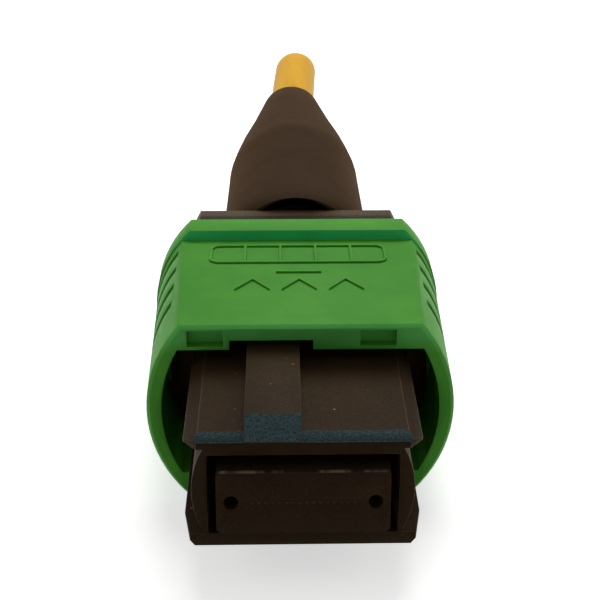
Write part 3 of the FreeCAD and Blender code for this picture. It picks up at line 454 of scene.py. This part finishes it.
def smoother_green_with_painted_light(name, shades, fade_from, fade_to, roughness):
    """The green again, smoother, with painted light: other shades above a height in millimetres."""
    material, tree, where = start_material(name)
    clouds = cloudy(tree, where)
    colour = blend_colours(tree, ramp(tree, where, "Z", fade_from, fade_to),
                           blend_colours(tree, clouds, *GREEN_SHADES), blend_colours(tree, clouds, *shades))
    finish_material(tree, colour, roughness, grain(tree, where, 0.1, 3.0), depth_mm=0.002,
                    specular_ior_level=0.1)
    return material


# Painted light: the step is painted brighter and bluer, and the front lip paler as a painted highlight, each
# above a height.
STEP_GREEN_PAINTED_LIGHT = smoother_green_with_painted_light("green_polyester_rim_step_painted_light", ("#35BA6A", "#3DC574"), fade_from=2.9,
                            fade_to=3.2, roughness=0.35)
LIP_GREEN_PAINTED_HIGHLIGHT = smoother_green_with_painted_light("green_polyester_front_lip_painted_highlight", ("#52AC4E", "#5AB656"), fade_from=2.75,
                           fade_to=3.5, roughness=0.45)
sleeve = merged_copy("outer_housing", "coupling_sleeve_shell")
soften(sleeve, width=0.07)
SLEEVE_LOW, SLEEVE_HIGH = box_of("outer_housing")
for face in sleeve.data.polygons:
    faces_front = face.normal.y < -0.5
    on_riser = faces_front and abs(face.center.y - SLEEVE_HIGH.y + RIM_LENGTH) < NEAR
    on_lip = faces_front and face.center.y < SLEEVE_LOW.y + LIP_DEPTH
    face.material_index = 1 if on_riser else 2 if on_lip else 0
print("faces of the step and lip:", sum(face.material_index > 0 for face in sleeve.data.polygons))
sleeve.data.update()
DOWN = Vector((0, 0, -1))
TOP_POINTS = [sleeve.ray_cast(Vector((0, along, 2 * SLEEVE_HIGH.z)), DOWN)[1] for along in TOP_PROBES]
TOP_SLOPE = math.atan2(TOP_POINTS[1].z - TOP_POINTS[0].z, TOP_PROBES[1] - TOP_PROBES[0])
dress(sleeve, "coupling_sleeve", [GREEN_PLASTIC, STEP_GREEN_PAINTED_LIGHT, LIP_GREEN_PAINTED_HIGHLIGHT],
      ["outer_housing"])
print("the top falls by", round(-math.degrees(TOP_SLOPE), 1), "degrees towards the rim")

# %% [markdown]
# ## Raised marks on the sleeve
#
# The mould of the real sleeve leaves fine raised strokes on its top. Here they are plain signs: a framed
# row of cells, three chevrons that point the way the sleeve is pulled, and a short bar. The frame starts
# as a plane whose corners are rounded, which is inset, loses its middle and is raised by a tenth of a
# millimetre. A chevron starts as a thin bar, which is cut in the middle and has the points of that cut
# moved towards the rim.

# %% One mark
RAISED = 0.11
SUNK = 0.01


def flat_mark(across, along, width, length):
    """A plane just under the top, which the strokes are cut from."""
    deselect()
    bpy.ops.mesh.primitive_plane_add(size=1, location=(across, along, -SUNK))
    piece = bpy.context.object
    piece.scale = (width, length, 1)
    bpy.ops.object.transform_apply(location=True, rotation=True, scale=True)
    return piece


def raised(piece):
    """Gives a flat outline its height and a rounded crest."""
    edit(piece, "SELECT")
    bpy.ops.mesh.extrude_region_move(TRANSFORM_OT_translate={"value": (0, 0, RAISED)})
    bpy.ops.mesh.select_all(action="SELECT")
    bpy.ops.mesh.normals_make_consistent(inside=False)
    leave()
    soften(piece, width=0.035, angle=40, smooth=40)
    return piece


# %% Frame, bar and chevron
STROKE = 0.13
FRAME_CORNER = 0.5
CHEVRON_WIDE = 1.5
CHEVRON_POINT = 1.1


def frame_mark(along, width, length):
    piece = flat_mark(0, along, width, length)
    edit(piece, "SELECT")
    bpy.ops.mesh.bevel(affect="VERTICES", offset=FRAME_CORNER, segments=6, profile=0.5)
    bpy.ops.mesh.select_all(action="SELECT")
    bpy.ops.mesh.inset(thickness=STROKE)
    bpy.ops.mesh.delete(type="FACE")
    leave()
    return raised(piece)


def bar_mark(across, along, width, length):
    return raised(flat_mark(across, along, width, length))


def chevron_mark(across, along):
    """Two slanted strokes that meet in a point towards the rim."""
    piece = flat_mark(across, along, CHEVRON_WIDE, STROKE * 1.2)
    edit(piece, "SELECT")
    bpy.ops.mesh.subdivide(number_cuts=1)
    pick_points(piece, lambda place: abs(place.x - across) < 0.01)
    bpy.ops.transform.translate(value=(0, CHEVRON_POINT, 0))
    leave()
    return raised(piece)


# %% All marks
FRAME_WIDE = 8.0
FRAME_LONG = 2.1
FRAME_PLACE = 13.6
CELLS = 5
BAR_WIDE = 2.0
BAR_PLACE = 11.5
CHEVRONS = 3
CHEVRON_SPACING = 2.0
CHEVRON_PLACE = 9.6


def spaced(count, spacing):
    """Places for a row of things round the middle."""
    return [spacing * (step - (count - 1) / 2) for step in range(count)]


marks = [frame_mark(FRAME_PLACE, FRAME_WIDE, FRAME_LONG)]
for across in spaced(CELLS - 1, FRAME_WIDE / CELLS):
    marks.append(bar_mark(across, FRAME_PLACE, STROKE, FRAME_LONG - STROKE))
for across in spaced(CHEVRONS, CHEVRON_SPACING):
    marks.append(chevron_mark(across, CHEVRON_PLACE))
marks.append(bar_mark(0, BAR_PLACE, BAR_WIDE, STROKE))
sleeve_marks = join(marks, "sleeve_marks")
tilt = Matrix.Rotation(TOP_SLOPE, 4, "X")
lift = Matrix.Translation(Vector((0, 0, TOP_POINTS[0].z - TOP_POINTS[0].y * math.tan(TOP_SLOPE))))
sleeve_marks.data.transform(lift @ tilt)
dress(sleeve_marks, "coupling_sleeve", [GREEN_PLASTIC])

# %% [markdown]
# ## Nose
#
# The black nose goes into the adapter. It is polyester filled with short glass, which makes it stiff and
# gives it a dull, slightly brown skin. Its shape comes from the imported model too. Only the sloping lead-in
# strip along the front of the top plate, and the slope of the key, look different: the plastic froze
# against polished steel there, so they are smoother and their glass shows as specks, and their blue-grey
# colour is a painted reflection of pale surroundings in these tilted faces. So those faces, found by their
# place and tilt, get another finish. The specks are drawn coarser than real glass ends, which are 0.01 mm
# wide. The rounded edges are painted paler than the faces, a painted highlight where they catch the
# light. The edges of the bottom plate are moved as well, by about a tenth of a millimetre, and its slanted
# front corners are made longer.

# %% Finishes of the nose
WARM_SHEEN = "#FFC682"
WARM_GLOW = "#D3A173"
BLACK_PLASTIC = moulded("black_glass_filled_polyester", "#1C150C", "#241B10", grain_mm=0.09,
                        roughness=0.55, depth_mm=0.006, specular=0.07, tint=WARM_SHEEN, dust="#7A6B58",
                        sheen_weight=0.05, sheen_tint=WARM_GLOW, sheen_roughness=0.6)
# Painted highlight: the rounded edges are painted paler than the faces, where they catch the light.
EDGE_PAINTED_HIGHLIGHT = moulded("black_polyester_edge_painted_highlight", "#31271C", "#3D3226", grain_mm=0.12, roughness=0.4,
                    depth_mm=0.004, specular=0.12, tint=WARM_SHEEN)


def speckled_painted_reflection(name, dark, light):
    material, tree, where = start_material(name)
    specks = grain(tree, where, 0.075, 3.0)
    # Painted reflection: the blue-grey shades stand for pale surroundings mirrored in the tilted faces; the
    # specks are the glass.
    colour = blend_colours(tree, spread(tree, specks, 0.0, 1.0, 0.36, 0.66), dark, light)
    finish_material(tree, colour, spread(tree, specks, 0.5, 0.35), specks, depth_mm=0.004,
                    specular_ior_level=0.04)
    return material


LEAD_IN_PAINTED_REFLECTION = speckled_painted_reflection("polished_lead_in_painted_reflection", "#101C1C", "#20383B")
KEY_SLOPE_PAINTED_REFLECTION = speckled_painted_reflection("polished_key_slope_painted_reflection", "#323F40", "#4A5F64")
print("finishes so far:", len(bpy.data.materials))

# %% Bottom plate of the nose
NOSE_FRONT = box_of("inner_housing")[0].y
PLATE_TOP = -1.76
PLATE_LIP = -2.0
PLATE_UNDER = -2.2
PLATE_REAR = 8.8
PLATE_TIP = 4.05
PLATE_SIDE = 4.4
CORNER_ZONE = 0.9
TIP_ZONE = 0.7
CORNER_LONGER = 0.75
SIDE_WIDER = 1.026
TIP_NARROWER = 0.98
TIP_HIGHER = 0.07
nose = merged_copy("inner_housing", "plug_nose")


def plate_edge(place):
    """Whether a point belongs to the edges of the bottom plate."""
    return (abs(place.x) > PLATE_TIP and place.z < PLATE_TOP + 0.02
            and place.y < PLATE_REAR + 0.05)


def plate_side(place):
    return plate_edge(place) and abs(abs(place.x) - PLATE_SIDE) < NEAR


def slanted_corner(place):
    return plate_side(place) and place.y < NOSE_FRONT + CORNER_ZONE


def lower_tip(place):
    return plate_edge(place) and place.z < PLATE_UNDER and place.y < NOSE_FRONT + TIP_ZONE


def upper_tip(place):
    return plate_edge(place) and PLATE_UNDER < place.z < PLATE_LIP and place.y < NOSE_FRONT + NEAR


pick_points(nose, slanted_corner)
bpy.ops.transform.translate(value=(0, CORNER_LONGER, 0))
leave()
for test, factor in ((plate_side, SIDE_WIDER), (lower_tip, TIP_NARROWER)):
    pick_points(nose, test)
    bpy.ops.transform.resize(value=(factor, 1, 1), center_override=(0, 0, 0))
    leave()
pick_points(nose, upper_tip)
bpy.ops.transform.translate(value=(0, 0, TIP_HIGHER))
leave()

# %% Edges and lead-in of the nose
NOSE_TOP = 2.4
LEAD_IN_LENGTH = 0.9
LEAD_IN_DROP = 0.13
KEY_TILT = -0.4
soften(nose, width=0.05, edge_finish=1)
for face in nose.data.polygons:
    near_front = face.center.y < NOSE_FRONT + LEAD_IN_LENGTH and face.center.z > NOSE_TOP - LEAD_IN_DROP
    leaning = -0.85 < face.normal.y < -0.05 and face.normal.z > 0.3 and abs(face.normal.x) < 0.3
    if near_front and leaning:
        face.material_index = 3 if face.normal.y < KEY_TILT else 2
print("faces of the lead-in:", sum(face.material_index > 1 for face in nose.data.polygons))
dress(nose, "plug", [BLACK_PLASTIC, EDGE_PAINTED_HIGHLIGHT, LEAD_IN_PAINTED_REFLECTION, KEY_SLOPE_PAINTED_REFLECTION],
      ["inner_housing"])

# %% [markdown]
# ## Rear block
#
# Behind the sleeve sits the block that closes the housing and carries the crimp neck. It is moulded in
# the same black polyester as the nose, but in a rougher mould, so it is duller and a little paler. Its
# front part is painted darker, a painted shade, so that a dark line shows above the sleeve's rim when the
# plug is seen from the front. Its outline is the imported one with rounded edges, which carry the same
# painted highlight as the nose's edges.

# %% Rear block
SHADE_FRONT = 20.2
SHADE_REAR = 20.42


def rear_block_plastic_with_painted_shade():
    material, tree, where = start_material("matt_black_polyester_with_painted_shade")
    skin = blend_colours(tree, cloudy(tree, where), "#3B2F20", "#46392A")
    # Painted shade: the front part darkens to near black between SHADE_REAR and SHADE_FRONT.
    colour = blend_colours(tree, ramp(tree, where, "Y", SHADE_REAR, SHADE_FRONT), skin, "#10110B")
    specks = grain(tree, where, 0.12, 4.0)
    finish_material(tree, colour, spread(tree, specks, 0.54, 0.68), specks, depth_mm=0.008,
                    specular_ior_level=0.1, specular_tint=WARM_SHEEN)
    return material


BLOCK_PLASTIC_WITH_PAINTED_SHADE = rear_block_plastic_with_painted_shade()
block = merged_copy("spring_push", "rear_block")
soften(block, width=0.06, edge_finish=1)
dress(block, "plug", [BLOCK_PLASTIC_WITH_PAINTED_SHADE, EDGE_PAINTED_HIGHLIGHT], ["spring_push"])

# %% [markdown]
# ## Ferrule
#
# The ferrule is the precise part: a block of resin packed with glass beads, ground flat at its sloping
# end. Real beads are about 0.02 mm wide and are drawn coarser, so that they show. The top front edge
# catches the light here and there, which is painted as short pale dashes, a painted highlight. They are
# painted by a noise that only counts in a thin band along that edge, so no shape has to be cut.

# %% Ferrule
FERRULE_TOP = 1.23
END_FACE_TOP = 0.26


def ground_resin():
    material, tree, where = start_material("glass_filled_ferrule_resin")
    clouds = spread(tree, grain(tree, where, 1.6, 3.0), 0.0, 1.0)
    beads = grain(tree, where, 0.05, 3.0)
    skin = blend_colours(tree, clouds, "#1E160E", "#271D14")
    skin = blend_colours(tree, spread(tree, beads, 0.0, 0.5, 0.6, 0.75), skin, "#5A4C3C")
    # Painted highlight: pale dashes in a thin band along the top front edge.
    upper = ramp(tree, where, "Z", FERRULE_TOP - 0.05, FERRULE_TOP - 0.03)
    front = ramp(tree, where, "Y", END_FACE_TOP + 0.05, END_FACE_TOP)
    glint_dashes = spread(tree, grain(tree, where, 0.8, 4.0, (1, 0.1, 0.1)), 0.0, 1.0, 0.46, 0.6)
    band = add_node(tree, "ShaderNodeMath", {0: upper, 1: front}, operation="MULTIPLY")
    painted_glint = add_node(tree, "ShaderNodeMath", {0: band.outputs[0], 1: glint_dashes}, operation="MULTIPLY")
    colour = blend_colours(tree, painted_glint.outputs[0], skin, "#6E6150")
    finish_material(tree, colour, spread(tree, beads, 0.45, 0.6), beads, depth_mm=0.002,
                    specular_ior_level=0.08, specular_tint=WARM_SHEEN)
    return material


FERRULE_RESIN = ground_resin()
ferrule = merged_copy("mt_ferrule", "fibre_ferrule")
soften(ferrule, width=0.02)
dress(ferrule, "ferrule_set", [FERRULE_RESIN], ["mt_ferrule"])

# %% [markdown]
# ## Glass fibres
#
# Sixteen bare fibres, each an eighth of a millimetre thick, stand in one row a quarter of a millimetre
# apart and are polished flush with the end face. One rod is made from a cylinder with a tiny polished
# bevel, and is copied along the row, each copy with its own mesh. Silica is clear, but a fibre's far end
# is dark, so it reads as dark glass.

# %% Glass fibres
FIBRES_LOW, FIBRES_HIGH = box_of("fibres")
FIBRE_SIZE = FIBRES_HIGH.z - FIBRES_LOW.z
FIBRE_COUNT = 16
FIBRE_SPACING = (FIBRES_HIGH.x - FIBRES_LOW.x - FIBRE_SIZE) / (FIBRE_COUNT - 1)


def polished_silica():
    material, tree, where = start_material("polished_silica")
    tint = blend_colours(tree, grain(tree, where, 0.06, 2.0), "#241D18", "#332B2B")
    finish_material(tree, tint, roughness=0.3, height=grain(tree, where, 0.02), depth_mm=0.0004,
                    specular_ior_level=0.08, ior=1.46)
    return material


SILICA = polished_silica()
rods = []
for across in spaced(FIBRE_COUNT, FIBRE_SPACING):
    deselect()
    bpy.ops.mesh.primitive_cylinder_add(vertices=20, radius=FIBRE_SIZE / 2,
                                        depth=FIBRES_HIGH.y - FIBRES_LOW.y, rotation=(math.pi / 2, 0, 0),
                                        location=(across, (FIBRES_LOW.y + FIBRES_HIGH.y) / 2, 0))
    rod = bpy.context.object
    bpy.ops.object.transform_apply(location=True, rotation=True, scale=True)
    soften(rod, width=0.006, segments=1, angle=60, smooth=40)
    rods.append(rod)
glass_fibres = join(rods, "glass_fibres")
dress(glass_fibres, "ferrule_set", [SILICA], ["fibres"])

# %% [markdown]
# ## Boot
#
# The boot is a moulded elastomer tube that hands the cable's bending over softly: an oval mouth over the
# rear block's neck, drawn in at its front rim, a barrel that grows rounder, a faint rounded shoulder, and
# a long cone down to the cable. One ring of points is drawn, then extruded and resized from station to
# station, and bridged back to itself inside, which is how such a hollow form is made by hand. A lathe
# profile with the Screw modifier would do for a round boot, but not for the oval mouth.

# %% A tube through rings
def round_ring(along, radius, shift=0):
    """A station of a tube where it is round."""
    return along, radius, radius, shift


def ring_tube(name, stations, sides):
    """A closed tube through the stations (along, half width, half height, shift to the right)."""
    deselect()
    along, wide, high, shift = stations[0]
    bpy.ops.mesh.primitive_circle_add(vertices=sides, radius=1, location=(shift, along, 0),
                                      rotation=(math.pi / 2, 0, 0))
    piece = bpy.context.object
    piece.name = name
    bpy.ops.object.transform_apply(location=True, rotation=True, scale=True)
    edit(piece, "SELECT")
    bpy.ops.transform.resize(value=(wide, 1, high), center_override=(shift, along, 0))
    for next_along, next_wide, next_high, next_shift in stations[1:]:
        step = (next_shift - shift, next_along - along, 0)
        bpy.ops.mesh.extrude_region_move(TRANSFORM_OT_translate={"value": step})
        size = (next_wide / wide, 1, next_high / high)
        bpy.ops.transform.resize(value=size, center_override=(next_shift, next_along, 0))
        along, wide, high, shift = next_along, next_wide, next_high, next_shift
    bpy.ops.mesh.select_all(action="DESELECT")
    leave()
    ends = (0, len(stations) - 1)
    for edge in piece.data.edges:
        rings = {vertex // sides for vertex in edge.vertices}
        edge.select = len(rings) == 1 and rings.pop() in ends
    bpy.ops.object.mode_set(mode="EDIT")
    bpy.ops.mesh.select_mode(type="EDGE")
    bpy.ops.mesh.bridge_edge_loops()
    bpy.ops.mesh.select_mode(type="VERT")
    bpy.ops.mesh.select_all(action="SELECT")
    bpy.ops.mesh.normals_make_consistent(inside=False)
    leave()
    bpy.ops.object.shade_smooth_by_angle(angle=math.radians(40))
    return piece


# %% Boot
BOOT_RUBBER = moulded("moulded_boot_elastomer", "#33281F", "#3A2E23", grain_mm=0.12, roughness=0.75,
                      depth_mm=0.006, specular=0.012, tint=WARM_SHEEN, sheen_weight=0.12,
                      sheen_tint=WARM_GLOW, sheen_roughness=0.6)
BOOT_LOW, BOOT_HIGH = box_of("strain_boot")
MOUTH_WIDE = 2.78
MOUTH_HIGH = 3.2
MOUTH_DEPTH = 1.6
CRIMP_ROOM = 2.7
CRIMP_DEPTH = 8.8
CABLE_ROOM = 1.54
EXIT_RADIUS = 1.9
# The outside, as the distance from the mouth, the half width and the half height.
OUTSIDE = [(0.0, 3.3, 3.25), (0.2, 3.6, 3.31), (0.6, 3.81, 3.39), (1.5, 3.85, 3.45), (3.0, 3.84, 3.5),
           (6.0, 3.8, 3.57), (8.8, 3.77, 3.62), (9.3, 3.77, 3.64), (9.8, 3.77, 3.65), (10.3, 3.74, 3.63),
           (10.8, 3.69, 3.56), (11.4, 3.63, 3.47), (12.2, 3.54, 3.37), (14.0, 3.3, 3.14),
           (15.6, 3.03, 2.92), (17.2, 2.75, 2.69), (20.0, 2.34, 2.31), (22.7, 1.95, 1.94)]
boot_rings = [(BOOT_LOW.y + MOUTH_DEPTH, MOUTH_WIDE, MOUTH_HIGH, 0),
              (BOOT_LOW.y + 0.06, MOUTH_WIDE, MOUTH_HIGH, 0),
              (BOOT_LOW.y, MOUTH_WIDE + 0.02, MOUTH_HIGH + 0.02, 0)]
boot_rings += [(BOOT_LOW.y + along, wide, high, 0) for along, wide, high in OUTSIDE]
boot_rings += [round_ring(BOOT_HIGH.y - 0.06, EXIT_RADIUS - 0.04),
               round_ring(BOOT_HIGH.y, EXIT_RADIUS - 0.14),
               round_ring(BOOT_HIGH.y, CABLE_ROOM),
               round_ring(BOOT_LOW.y + CRIMP_DEPTH, CABLE_ROOM),
               round_ring(BOOT_LOW.y + CRIMP_DEPTH, CRIMP_ROOM),
               round_ring(BOOT_LOW.y + MOUTH_DEPTH, CRIMP_ROOM)]
boot = ring_tube("cable_boot", boot_rings, 96)
dress(boot, "plug", [BOOT_RUBBER], ["strain_boot"])

# %% [markdown]
# ## Cable
#
# The jacket is extruded round the yarn, so it is smooth along its length, with the faint waves that
# cooling leaves, and its cut end is rounded a little where the blade pressed it. It is the same kind of
# tube as the boot. Behind the boot it leans very slightly to the right, as a cable that came off a reel
# does.

# %% Cable
JACKET_LOW, JACKET_HIGH = box_of("cable_jacket")
CABLE_RADIUS = JACKET_HIGH.x
JACKET_WALL = 0.45
JACKET_INSIDE = CABLE_RADIUS - JACKET_WALL
LEAN = 0.045


def lean_at(along):
    return max(0.0, along - BOOT_HIGH.y) * LEAN


def extruded_jacket():
    material, tree, where = start_material("extruded_yellow_jacket")
    waves = grain(tree, where, 0.8, 2.0, (1, 0.15, 1))
    skin = grain(tree, where, 0.06, 3.0)
    colour = blend_colours(tree, spread(tree, waves, 0.0, 1.0), "#D59C14", "#DCA61A")
    both = add_node(tree, "ShaderNodeMath", {0: waves, 1: skin}, operation="ADD")
    finish_material(tree, colour, spread(tree, skin, 0.42, 0.55), both.outputs[0], depth_mm=0.006,
                    specular_ior_level=0.07)
    return material


JACKET = extruded_jacket()
END_SHIFT = lean_at(JACKET_HIGH.y)
cable_rings = [round_ring(JACKET_LOW.y, JACKET_INSIDE), round_ring(JACKET_LOW.y, CABLE_RADIUS)]
for along in (BOOT_HIGH.y, 46.0, 48.0, 50.0, 52.0, JACKET_HIGH.y - 0.12):
    cable_rings.append(round_ring(along, CABLE_RADIUS, lean_at(along)))
cable_rings += [round_ring(JACKET_HIGH.y - 0.03, CABLE_RADIUS - 0.03, END_SHIFT),
                round_ring(JACKET_HIGH.y, CABLE_RADIUS - 0.11, END_SHIFT),
                round_ring(JACKET_HIGH.y, JACKET_INSIDE + 0.02, END_SHIFT),
                round_ring(JACKET_HIGH.y - 0.05, JACKET_INSIDE, END_SHIFT),
                round_ring(BOOT_HIGH.y, JACKET_INSIDE)]
jacket = ring_tube("yellow_cable_jacket", cable_rings, 72)
dress(jacket, "plug", [JACKET], ["cable_jacket"])

# %% [markdown]
# ## Strength yarn
#
# Between the jacket and the fibres runs aramid yarn, thousands of thin yellow filaments that take the
# pull. Shears never cut them quite flush, so short ends stand out of the cable. The bundle is the packed
# ring, moved with the leaning jacket at its end. One tapered filament is copied over the cut face, each
# copy turned a little another way. It and the strands painted on the bundle are thicker than real
# filaments, which are 0.012 mm thick, so that they show.

# %% Yarn in the cable
def aramid():
    material, tree, where = start_material("aramid_yarn")
    strands = grain(tree, where, 0.07, 3.0, (1, 0.04, 1))
    colour = blend_colours(tree, spread(tree, strands, 0.0, 1.0), "#B08A35", "#E3C676")
    finish_material(tree, colour, roughness=0.6, height=strands, depth_mm=0.02,
                    specular_ior_level=0.3, sheen_weight=0.3)
    return material


ARAMID = aramid()


def lean_end(piece):
    """Moves the cut end sideways with the jacket."""
    pick_points(piece, lambda place: place.y > JACKET_HIGH.y - 1)
    bpy.ops.transform.translate(value=(END_SHIFT, 0, 0))
    leave()


yarn = merged_copy("aramid_yarn", "yarn_core")
lean_end(yarn)
bpy.ops.object.shade_smooth_by_angle(angle=math.radians(40))

# %% Frayed ends
YARN_INSIDE = 0.62
YARN_OUTSIDE = 1.0
FILAMENTS = 80
FILAMENT_LONG = 0.5
FILAMENT_TILT = 0.16
FILAMENT_SUNK = (0.14, 0.24)
GOLDEN_ANGLE = 2.39996
deselect()
bpy.ops.mesh.primitive_cone_add(vertices=6, radius1=0.035, radius2=0.022, depth=FILAMENT_LONG,
                                rotation=(-math.pi / 2, 0, 0))
filament = bpy.context.object
bpy.ops.object.transform_apply(location=True, rotation=True, scale=True)
bpy.ops.object.shade_smooth_by_angle(angle=math.radians(70))
chance = random.Random(7)
ends = [yarn]
for step in range(FILAMENTS):
    angle = GOLDEN_ANGLE * step
    share = (step + 0.5) / FILAMENTS
    spot = math.sqrt(YARN_INSIDE ** 2 + share * (YARN_OUTSIDE ** 2 - YARN_INSIDE ** 2)) - 0.02
    copy = filament.copy()
    copy.data = filament.data.copy()
    bpy.context.scene.collection.objects.link(copy)
    copy.location = (END_SHIFT + spot * math.cos(angle), JACKET_HIGH.y - chance.uniform(*FILAMENT_SUNK),
                     spot * math.sin(angle))
    copy.rotation_euler = Euler((chance.uniform(-FILAMENT_TILT, FILAMENT_TILT), 0,
                                 chance.uniform(-FILAMENT_TILT, FILAMENT_TILT)))
    ends.append(copy)
bpy.data.objects.remove(filament)
yarn = join(ends, "aramid_bundle")
dress(yarn, "plug", [ARAMID], ["aramid_yarn"])

# %% [markdown]
# ## Fibre bundle
#
# Inside the yarn the coated fibres run close together, and fan out into a flat ribbon before the ferrule.
# Each has a thin acrylate coat, which looks milky. The stripes follow the fibres' spacing, so that the
# single fibres show. Behind the ferrule the fibres have some slack, which lets the ferrule move back.

# %% Fibre bundle
STRIPE = 0.25


def coated_fibres():
    material, tree, where = start_material("acrylate_coated_fibres")
    axes = add_node(tree, "ShaderNodeSeparateXYZ", {0: where})
    turns = add_node(tree, "ShaderNodeMath", {0: axes.outputs["X"], 1: 2 * math.pi / (STRIPE * MM)},
                     operation="MULTIPLY")
    wave = add_node(tree, "ShaderNodeMath", {0: turns.outputs[0]}, operation="COSINE")
    ridge = spread(tree, wave.outputs[0], 0.0, 1.0, -1.0, 1.0)
    colour = blend_colours(tree, ridge, "#8FA3AD", "#E6EBEA")
    finish_material(tree, colour, roughness=0.3, height=ridge, depth_mm=0.03,
                    specular_ior_level=0.5, ior=1.5)
    return material


COATED_FIBRES = coated_fibres()
bundle = merged_copy("fibre_ribbon", "coated_fibre_bundle")
lean_end(bundle)
soften(bundle, width=0.02, segments=1)
dress(bundle, None, [COATED_FIBRES], ["fibre_ribbon"])
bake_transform(bundle)

# %% [markdown]
# ## Metal inside
#
# Springs, crimp sleeve and support tube are hidden in the closed plug, but whoever takes it apart sees
# them. Metal has no colour of its own under its reflections: the base colour is the reflection itself.
# A drawn tube has fine lines along it and a rolled crimp has them round it, so the noise is stretched
# along one axis or the other. Real lines are about 0.01 mm wide and are drawn coarser, so that they show.
# On a thin wire even specks stand for them.

# %% Metal inside
def worked_metal(name, dark, light, line_mm, stretch, roughness):
    """Metal with the fine lines that drawing or turning leaves."""
    material, tree, where = start_material(name)
    lines = grain(tree, where, line_mm, 3.0, stretch)
    colour = blend_colours(tree, spread(tree, lines, 0.0, 1.0), dark, light)
    rough = spread(tree, lines, roughness - 0.06, roughness + 0.08)
    finish_material(tree, colour, rough, lines, depth_mm=0.002, metallic=1.0)
    return material


SPRING_STEEL = worked_metal("drawn_stainless_wire", "#A19C94", "#C2BEB6", line_mm=0.05,
                            stretch=(1, 1, 1), roughness=0.28)
# Painted shade: the crimp sleeve is near black, which stands for the shade it lies in behind the boot's
# mouth.
CRIMP_METAL_PAINTED_SHADE = worked_metal("crimp_steel_painted_shade", "#1A1A1B", "#262625", line_mm=0.06,
                           stretch=(0.05, 1, 0.05), roughness=0.45)
TUBE_BRASS = worked_metal("drawn_brass", "#B8924C", "#D3B069", line_mm=0.06,
                          stretch=(1, 0.05, 1), roughness=0.3)

# %% [markdown]
# ## Springs
#
# Three compression springs are wound from round stainless wire. The oval one pushes the ferrule forward
# and two small round ones push the sleeve forward. As on real springs, the first and last turn lie close,
# so that they press evenly, and the turns between are open. Each is a curve with a round section, made
# into a mesh.

# %% Winding a spring
POINTS_A_TURN = 20


def oval(ratio, squareness):
    return math.copysign(abs(ratio) ** squareness, ratio)


def wound_spring(name, node, centre, wide, high, wire, turns, squareness):
    """A spring of the given width, height and wire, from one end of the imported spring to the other."""
    front, back = box_of(node)[0].y, box_of(node)[1].y
    pitch = (back - front - 3 * wire) / (turns - 2)
    bpy.ops.curve.primitive_nurbs_path_add(location=(0, 0, 0))
    path = bpy.context.object
    path.name = name
    line = path.data.splines[0]
    count = turns * POINTS_A_TURN + 1
    line.points.add(count - len(line.points))
    for number, point in enumerate(line.points):
        turn = number / POINTS_A_TURN
        along = front + wire * (0.5 + min(turn, 1) + max(turn - turns + 1, 0))
        along += pitch * min(max(turn - 1, 0), turns - 2)
        across = oval(math.cos(2 * math.pi * turn), squareness) * (wide - wire) / 2
        up = oval(math.sin(2 * math.pi * turn), squareness) * (high - wire) / 2
        point.co = (centre + across, along, up, 1)
    line.order_u = 4
    line.use_endpoint_u = True
    line.resolution_u = 2
    path.data.bevel_depth = wire / 2
    path.data.bevel_resolution = 2
    path.data.use_fill_caps = True
    focus(path)
    bpy.ops.object.convert(target="MESH")
    spring = bpy.context.object
    bpy.ops.object.shade_smooth_by_angle(angle=math.radians(50))
    dress(spring, "plug", [SPRING_STEEL], [node])
    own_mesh(spring)


# %% Three springs
wound_spring("oval_ferrule_spring", "ferrule_spring", centre=0, wide=5.7, high=2.9,
             wire=0.4, turns=5, squareness=0.67)
for side, word in ((-1, "left"), (1, "right")):
    wound_spring("round_sleeve_spring_" + word, "coupling_spring_" + word,
                 centre=side * 5.07, wide=1.0, high=1.0, wire=0.18, turns=7, squareness=1.0)

# %% [markdown]
# ## Glue, rubber and the guide-pin clamp
#
# Amber epoxy fills the ferrule's window and holds the fibres. It is clear, so light goes into it and
# comes back brown. Behind the ferrule a soft rubber boot keeps the ribbon from kinking, and a pale
# moulded clamp would hold the guide pins of a male plug.

# %% Glue, rubber and clamp
def amber_epoxy():
    material, tree, where = start_material("amber_epoxy")
    clouds = grain(tree, where, 0.7, 2.0)
    colour = blend_colours(tree, clouds, "#6E3B10", "#B87324")
    finish_material(tree, colour, roughness=0.15, height=clouds, depth_mm=0.01,
                    specular_ior_level=0.5, transmission_weight=0.4, ior=1.54)
    return material


AMBER_EPOXY = amber_epoxy()
SOFT_RUBBER = moulded("moulded_silicone_rubber", "#34332F", "#3F3E39", grain_mm=0.1, roughness=0.65,
                      depth_mm=0.006, specular=0.2)
CLAMP_PLASTIC = moulded("natural_liquid_crystal_polymer", "#B9AE98", "#C8BEA9", grain_mm=0.1,
                        roughness=0.45, depth_mm=0.004, specular=0.35)
FINISH_OF = {
    "window_epoxy": AMBER_EPOXY, "ferrule_boot": SOFT_RUBBER, "pin_clamp": CLAMP_PLASTIC,
    "crimp_sleeve": CRIMP_METAL_PAINTED_SHADE, "support_tube": TUBE_BRASS,
}
for node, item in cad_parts.items():
    if not item.hide_render:
        item.data.materials.clear()
        item.data.materials.append(FINISH_OF[node])
print("packed nodes shown as they are:", ", ".join(sorted(FINISH_OF)))

# %% [markdown]
# ## Size
#
# Last, the size of the imported plug's box is printed, in millimetres.

# %% Size
print("packed box in mm:", [round(v / MM, 2) for v in (CAD_BOX[1] - CAD_BOX[0])])
